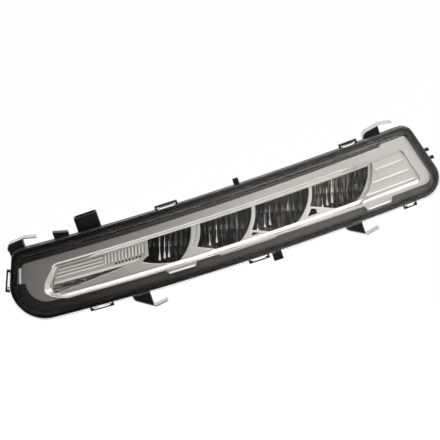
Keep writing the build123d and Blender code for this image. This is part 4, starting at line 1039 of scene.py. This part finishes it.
def soften(node: str, finish: Finish, softness: Softness,
           groups: tuple[EdgeGroup, ...] = (), moves: tuple[Drift, ...] = ()) -> bpy.types.Object:
    """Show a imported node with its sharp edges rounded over.

    Args:
        node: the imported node.
        finish: what it is dressed with.
        softness: how far its edges are rounded.
        groups: edges that are rounded by other widths, before the rest.
        moves: what is shifted along the plan curve first.

    Returns:
        The piece that stands for the node.
    """
    form = bmesh.new()
    form.from_mesh(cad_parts[node].data)
    bmesh.ops.remove_doubles(form, verts=form.verts, dist=MERGE)
    bmesh.ops.dissolve_limit(form, angle_limit=FLAT, verts=form.verts, edges=form.edges)
    for move in moves:
        move.shape(form)
    for group in groups:
        chosen = [edge for edge in form.edges if group.holds(edge)]
        LOG.info("%s: %d edges rounded over %.4f m", node, len(chosen), group.width)
        round_edges(form, chosen, group.width, GROUP_STEPS)
    sharp = [edge for edge in form.edges if edge.calc_face_angle(0.0) > SHARP]
    round_edges(form, sharp, softness.value, EDGE_STEPS)
    smooth_faces(form)
    piece = add_piece(f"{node}_soft", form, finish, (node,))
    piece.data.set_sharp_from_angle(angle=CREASE)
    weighted = piece.modifiers.new("even_shading", "WEIGHTED_NORMAL")
    weighted.keep_sharp = True
    return piece


@dataclass
class CoverUnit:
    """Clear cover and the bead that seals it."""

    softness: Softness = Softness.ROUND

    def dress(self) -> None:
        """Round the cover's edges and finish both pieces."""
        soften("lens", CLEAR_COVER, self.softness)
        dress_node("lens_seal", RUBBER)


@dataclass
class HousingUnit:
    """Black box with its breather."""

    softness: Softness = Softness.MOULDED
    cap_softness: Softness = Softness.ROUND

    def dress(self) -> None:
        """Round the mouldings' edges and finish them."""
        soften("housing", BLACK_PLASTIC, self.softness)
        soften("breather_cap", RUBBER, self.cap_softness)


@dataclass(frozen=True)
class TabLip:
    """Rounded bar along the end of one of the frame's tabs, in near white silver as a painted highlight."""

    name: str
    x: float
    z: float
    width: float
    height: float
    lean: float = 0.0
    depth: float = 6.5 * MM
    thickness: float = 1.0 * MM
    rounding: float = 0.45 * MM

    def build(self) -> bpy.types.Object:
        """Set the bar on the plan curve and round it.

        Returns:
            The finished bar.
        """
        radius = PLAN_RADIUS - self.depth
        turn = math.asin((self.x - PLAN_CENTRE.x) / radius)
        place = Vector((self.x, PLAN_CENTRE.y - radius * math.cos(turn), self.z))
        stand = (Matrix.Translation(place) @ Matrix.Rotation(turn, 4, "Z")
                 @ Matrix.Rotation(self.lean, 4, "Y")
                 @ Matrix.Diagonal((self.width, self.thickness, self.height, 1.0)))
        form = bmesh.new()
        bmesh.ops.create_cube(form, size=1.0, matrix=stand)
        round_edges(form, form.edges[:], self.rounding, TRIM_STEPS)
        smooth_faces(form)
        return add_piece(f"tab_lip_{self.name}", form, HIGHLIGHT_SILVER)


@dataclass
class BezelUnit:
    """Silver frame round the lights: its wide edge over the recess, its field of fine ribs and its tabs."""

    softness: Softness = Softness.ROUND
    groups: tuple[EdgeGroup, ...] = (
        EdgeGroup(left=-150 * MM, right=108 * MM, low=7.9 * MM, high=15 * MM, width=1.8 * MM),
        EdgeGroup(left=112 * MM, right=160 * MM, low=-15.5 * MM, high=14.5 * MM, width=0.15 * MM),
    )
    moves: tuple[Drift, ...] = (MARKER_LEAN, CORNER_SPREAD, TAB_TUCK)
    lips: tuple[TabLip, ...] = (
        TabLip("left", x=-159.0 * MM, z=8.6 * MM, width=2.0 * MM, height=12.6 * MM, lean=math.radians(21)),
        TabLip("bottom_left", x=-36.3 * MM, z=-20.9 * MM, width=21.0 * MM, height=1.5 * MM),
        TabLip("bottom_right", x=122.7 * MM, z=-23.2 * MM, width=19.0 * MM, height=1.4 * MM),
    )

    def dress(self) -> None:
        """Round the frame's edges so that they catch the light, and edge its tabs with bars that carry a
        painted highlight.
        """
        soften("bezel", SILVER_PAINT, self.softness, self.groups, self.moves)
        for lip in self.lips:
            lip.build()


@dataclass
class LightRow:
    """The four fluted reflectors with their board and light sources."""

    mirrors: tuple[FlutedMirror, ...] = SMOKED_MIRRORS

    def dress(self) -> None:
        """Finish the reflectors and what lies over them."""
        for number, mirror in enumerate(self.mirrors, 1):
            dress_node(f"reflector_{number}", mirror)
        dress_node("drl_board", BOARD)
        dress_node("drl_leds", PHOSPHOR)


@dataclass
class MarkerUnit:
    """Ribbed optic of the marker field with its reflector, board and light sources."""

    softness: Softness = Softness.CRISP
    moves: tuple[Drift, ...] = (MARKER_LEAN,)

    def dress(self) -> None:
        """Finish the marker's pieces."""
        soften("marker_optic", CLEAR_OPTIC, self.softness, moves=self.moves)
        dress_node("marker_reflector", BRIGHT_MIRROR)
        dress_node("marker_board", BOARD)
        dress_node("marker_leds", PHOSPHOR)


@dataclass
class CoolingUnit:
    """Finned heat sink with its seal and screws."""

    sink_softness: Softness = Softness.ROUND
    screw_softness: Softness = Softness.MOULDED

    def dress(self) -> None:
        """Finish the casting and what holds it."""
        soften("heat_sink", CAST_METAL, self.sink_softness)
        dress_node("heat_sink_seal", RUBBER)
        soften("heat_sink_screws", PLATED_STEEL, self.screw_softness)


@dataclass
class SupplyUnit:
    """Plug socket with its blades, and the driver board below."""

    softness: Softness = Softness.ROUND

    def dress(self) -> None:
        """Finish the socket and the parts behind it."""
        soften("connector_body", SOCKET_PLASTIC, self.softness)
        dress_node("connector_terminals", BRASS)
        dress_node("driver_board", BOARD)
        dress_node("board_screws", PLATED_STEEL)
        dress_node("jumper_strip", AMBER_FILM)


@dataclass
class ClipSet:
    """Spring clips over the four lugs."""

    corners: tuple[str, ...] = ("top_left", "top_right", "bottom_left", "bottom_right")
    softness: Softness = Softness.CRISP

    def dress(self) -> None:
        """Finish each clip."""
        for corner in self.corners:
            soften(f"clip_{corner}", SPRING_STEEL, self.softness)


@dataclass
class Viewpoint:
    """Camera at the photograph's angle, with angles in degrees and the sensor in millimetres."""

    aim: tuple[float, float, float] = (0.0031, 0.0007, 0.0079)
    elevation: float = 10.0
    roll: float = 18.8
    distance: float = 1.8
    view_width: float = 0.3350
    sensor: float = 36.0

    def build(self) -> None:
        """Make the camera and hand it to the scene."""
        data = bpy.data.cameras.new("camera")
        data.sensor_width = self.sensor
        data.lens = self.sensor * self.distance / self.view_width
        camera = bpy.data.objects.new("camera", data)
        tilt = math.radians(self.elevation)
        back = Vector((0, -math.cos(tilt), math.sin(tilt)))
        turn = (-back).to_track_quat("-Z", "Y").to_matrix().to_4x4()
        camera.matrix_world = (Matrix.Translation(Vector(self.aim) + back * self.distance) @ turn
                               @ Matrix.Rotation(-math.radians(self.roll), 4, "Z"))
        bpy.context.scene.collection.objects.link(camera)
        bpy.context.scene.camera = camera
        LOG.info("camera at %s", tuple(round(v, 3) for v in camera.location))


@dataclass(frozen=True)
class Softbox:
    """One soft lamp of the studio, aimed at the object's middle, with its power in watts."""

    name: str
    place: tuple[float, float, float]
    width: float
    height: float
    power: float

    def build(self) -> None:
        """Hang the lamp."""
        data = bpy.data.lights.new(self.name, "AREA")
        data.shape = "RECTANGLE"
        data.size = self.width
        data.size_y = self.height
        data.energy = self.power
        lamp = bpy.data.objects.new(self.name, data)
        place = Vector(self.place)
        lamp.matrix_world = Matrix.Translation(place) @ (-place).to_track_quat("-Z", "Y").to_matrix().to_4x4()
        lamp.visible_camera = False
        bpy.context.scene.collection.objects.link(lamp)


@dataclass
class Studio:
    """Pale floor, soft lamps, a graded card that only gloss shows, and a white world."""

    floor: StageWhite = StageWhite("stage_white", (0.85, 0.85, 0.85), shadow_share=0.10)
    floor_drop: float = 0.26
    floor_size: tuple[float, float] = (30.0, 30.0)
    card: StageShade = StageShade("stage_shade", left=-1.075, right=-0.064)
    card_place: tuple[float, float, float] = (-0.57, -0.306, 0.26)
    card_facing: tuple[float, float, float] = (0.643, 0.766, 0.0)
    card_size: tuple[float, float] = (1.32, 1.10)
    lamps: tuple[Softbox, ...] = (
        Softbox("lamp_top", (0.05, -0.30, 0.95), width=1.5, height=0.7, power=15.0),
        Softbox("lamp_right", (0.75, -0.95, 0.45), width=0.8, height=0.8, power=4.0),
        Softbox("lamp_left", (-0.95, 0.05, 0.30), width=0.2, height=0.8, power=2.0),
    )
    fill_level: float = 0.40

    def build(self) -> None:
        """Make everything that isn't part of the object."""
        below = Matrix.Translation((0, 0, CAD_BOX[0].z - self.floor_drop))
        self._sheet("floor", below, self.floor_size, self.floor)
        facing = Vector(self.card_facing).to_track_quat("Z", "Y").to_matrix().to_4x4()
        card = self._sheet("card", Matrix.Translation(self.card_place) @ facing, self.card_size, self.card)
        card.visible_camera = False
        card.visible_diffuse = False
        card.visible_shadow = False
        for lamp in self.lamps:
            lamp.build()
        self._sky()

    @staticmethod
    def _sheet(name: str, place: Matrix, size: tuple[float, float], finish: Finish) -> bpy.types.Object:
        """Make a flat stage sheet.

        Args:
            name: the sheet's name.
            place: where its middle is and how it is turned.
            size: its width and depth.
            finish: what it is dressed with.

        Returns:
            The sheet.
        """
        form = bmesh.new()
        bmesh.ops.create_grid(form, x_segments=1, y_segments=1, size=0.5,
                              matrix=place @ Matrix.Diagonal((*size, 1.0, 1.0)))
        sheet = place_form(name, form, finish)
        return sheet

    def _sky(self) -> None:
        """Make a world that is white to the eye and in gloss, and plain and dim as light."""
        world = bpy.data.worlds.new("sky")
        bpy.context.scene.world = world
        world.use_nodes = True
        graph = Graph(world.node_tree)
        white = graph.plain("ShaderNodeBackground", WHITE, 1.0)
        dim = graph.plain("ShaderNodeBackground", WHITE, self.fill_level)
        share = graph.seen(Ray.CAMERA, Ray.GLOSSY, Ray.TRANSMISSION)
        graph.node("ShaderNodeOutputWorld", None, {"Surface": graph.mix(share, dim, white)}, None)


def main() -> None:
    """Dress the nodes, add the new pieces and set up the studio."""
    logging.basicConfig(level=logging.INFO, format="%(name)s: %(message)s")
    bpy.context.scene.view_settings.view_transform = "Standard"
    for unit in (CoverUnit(), HousingUnit(), BezelUnit(), LightRow(), MarkerUnit(), CoolingUnit(),
                 SupplyUnit(), ClipSet()):
        unit.dress()
    Viewpoint().build()
    Studio().build()


if __name__ == "__main__":
    main()
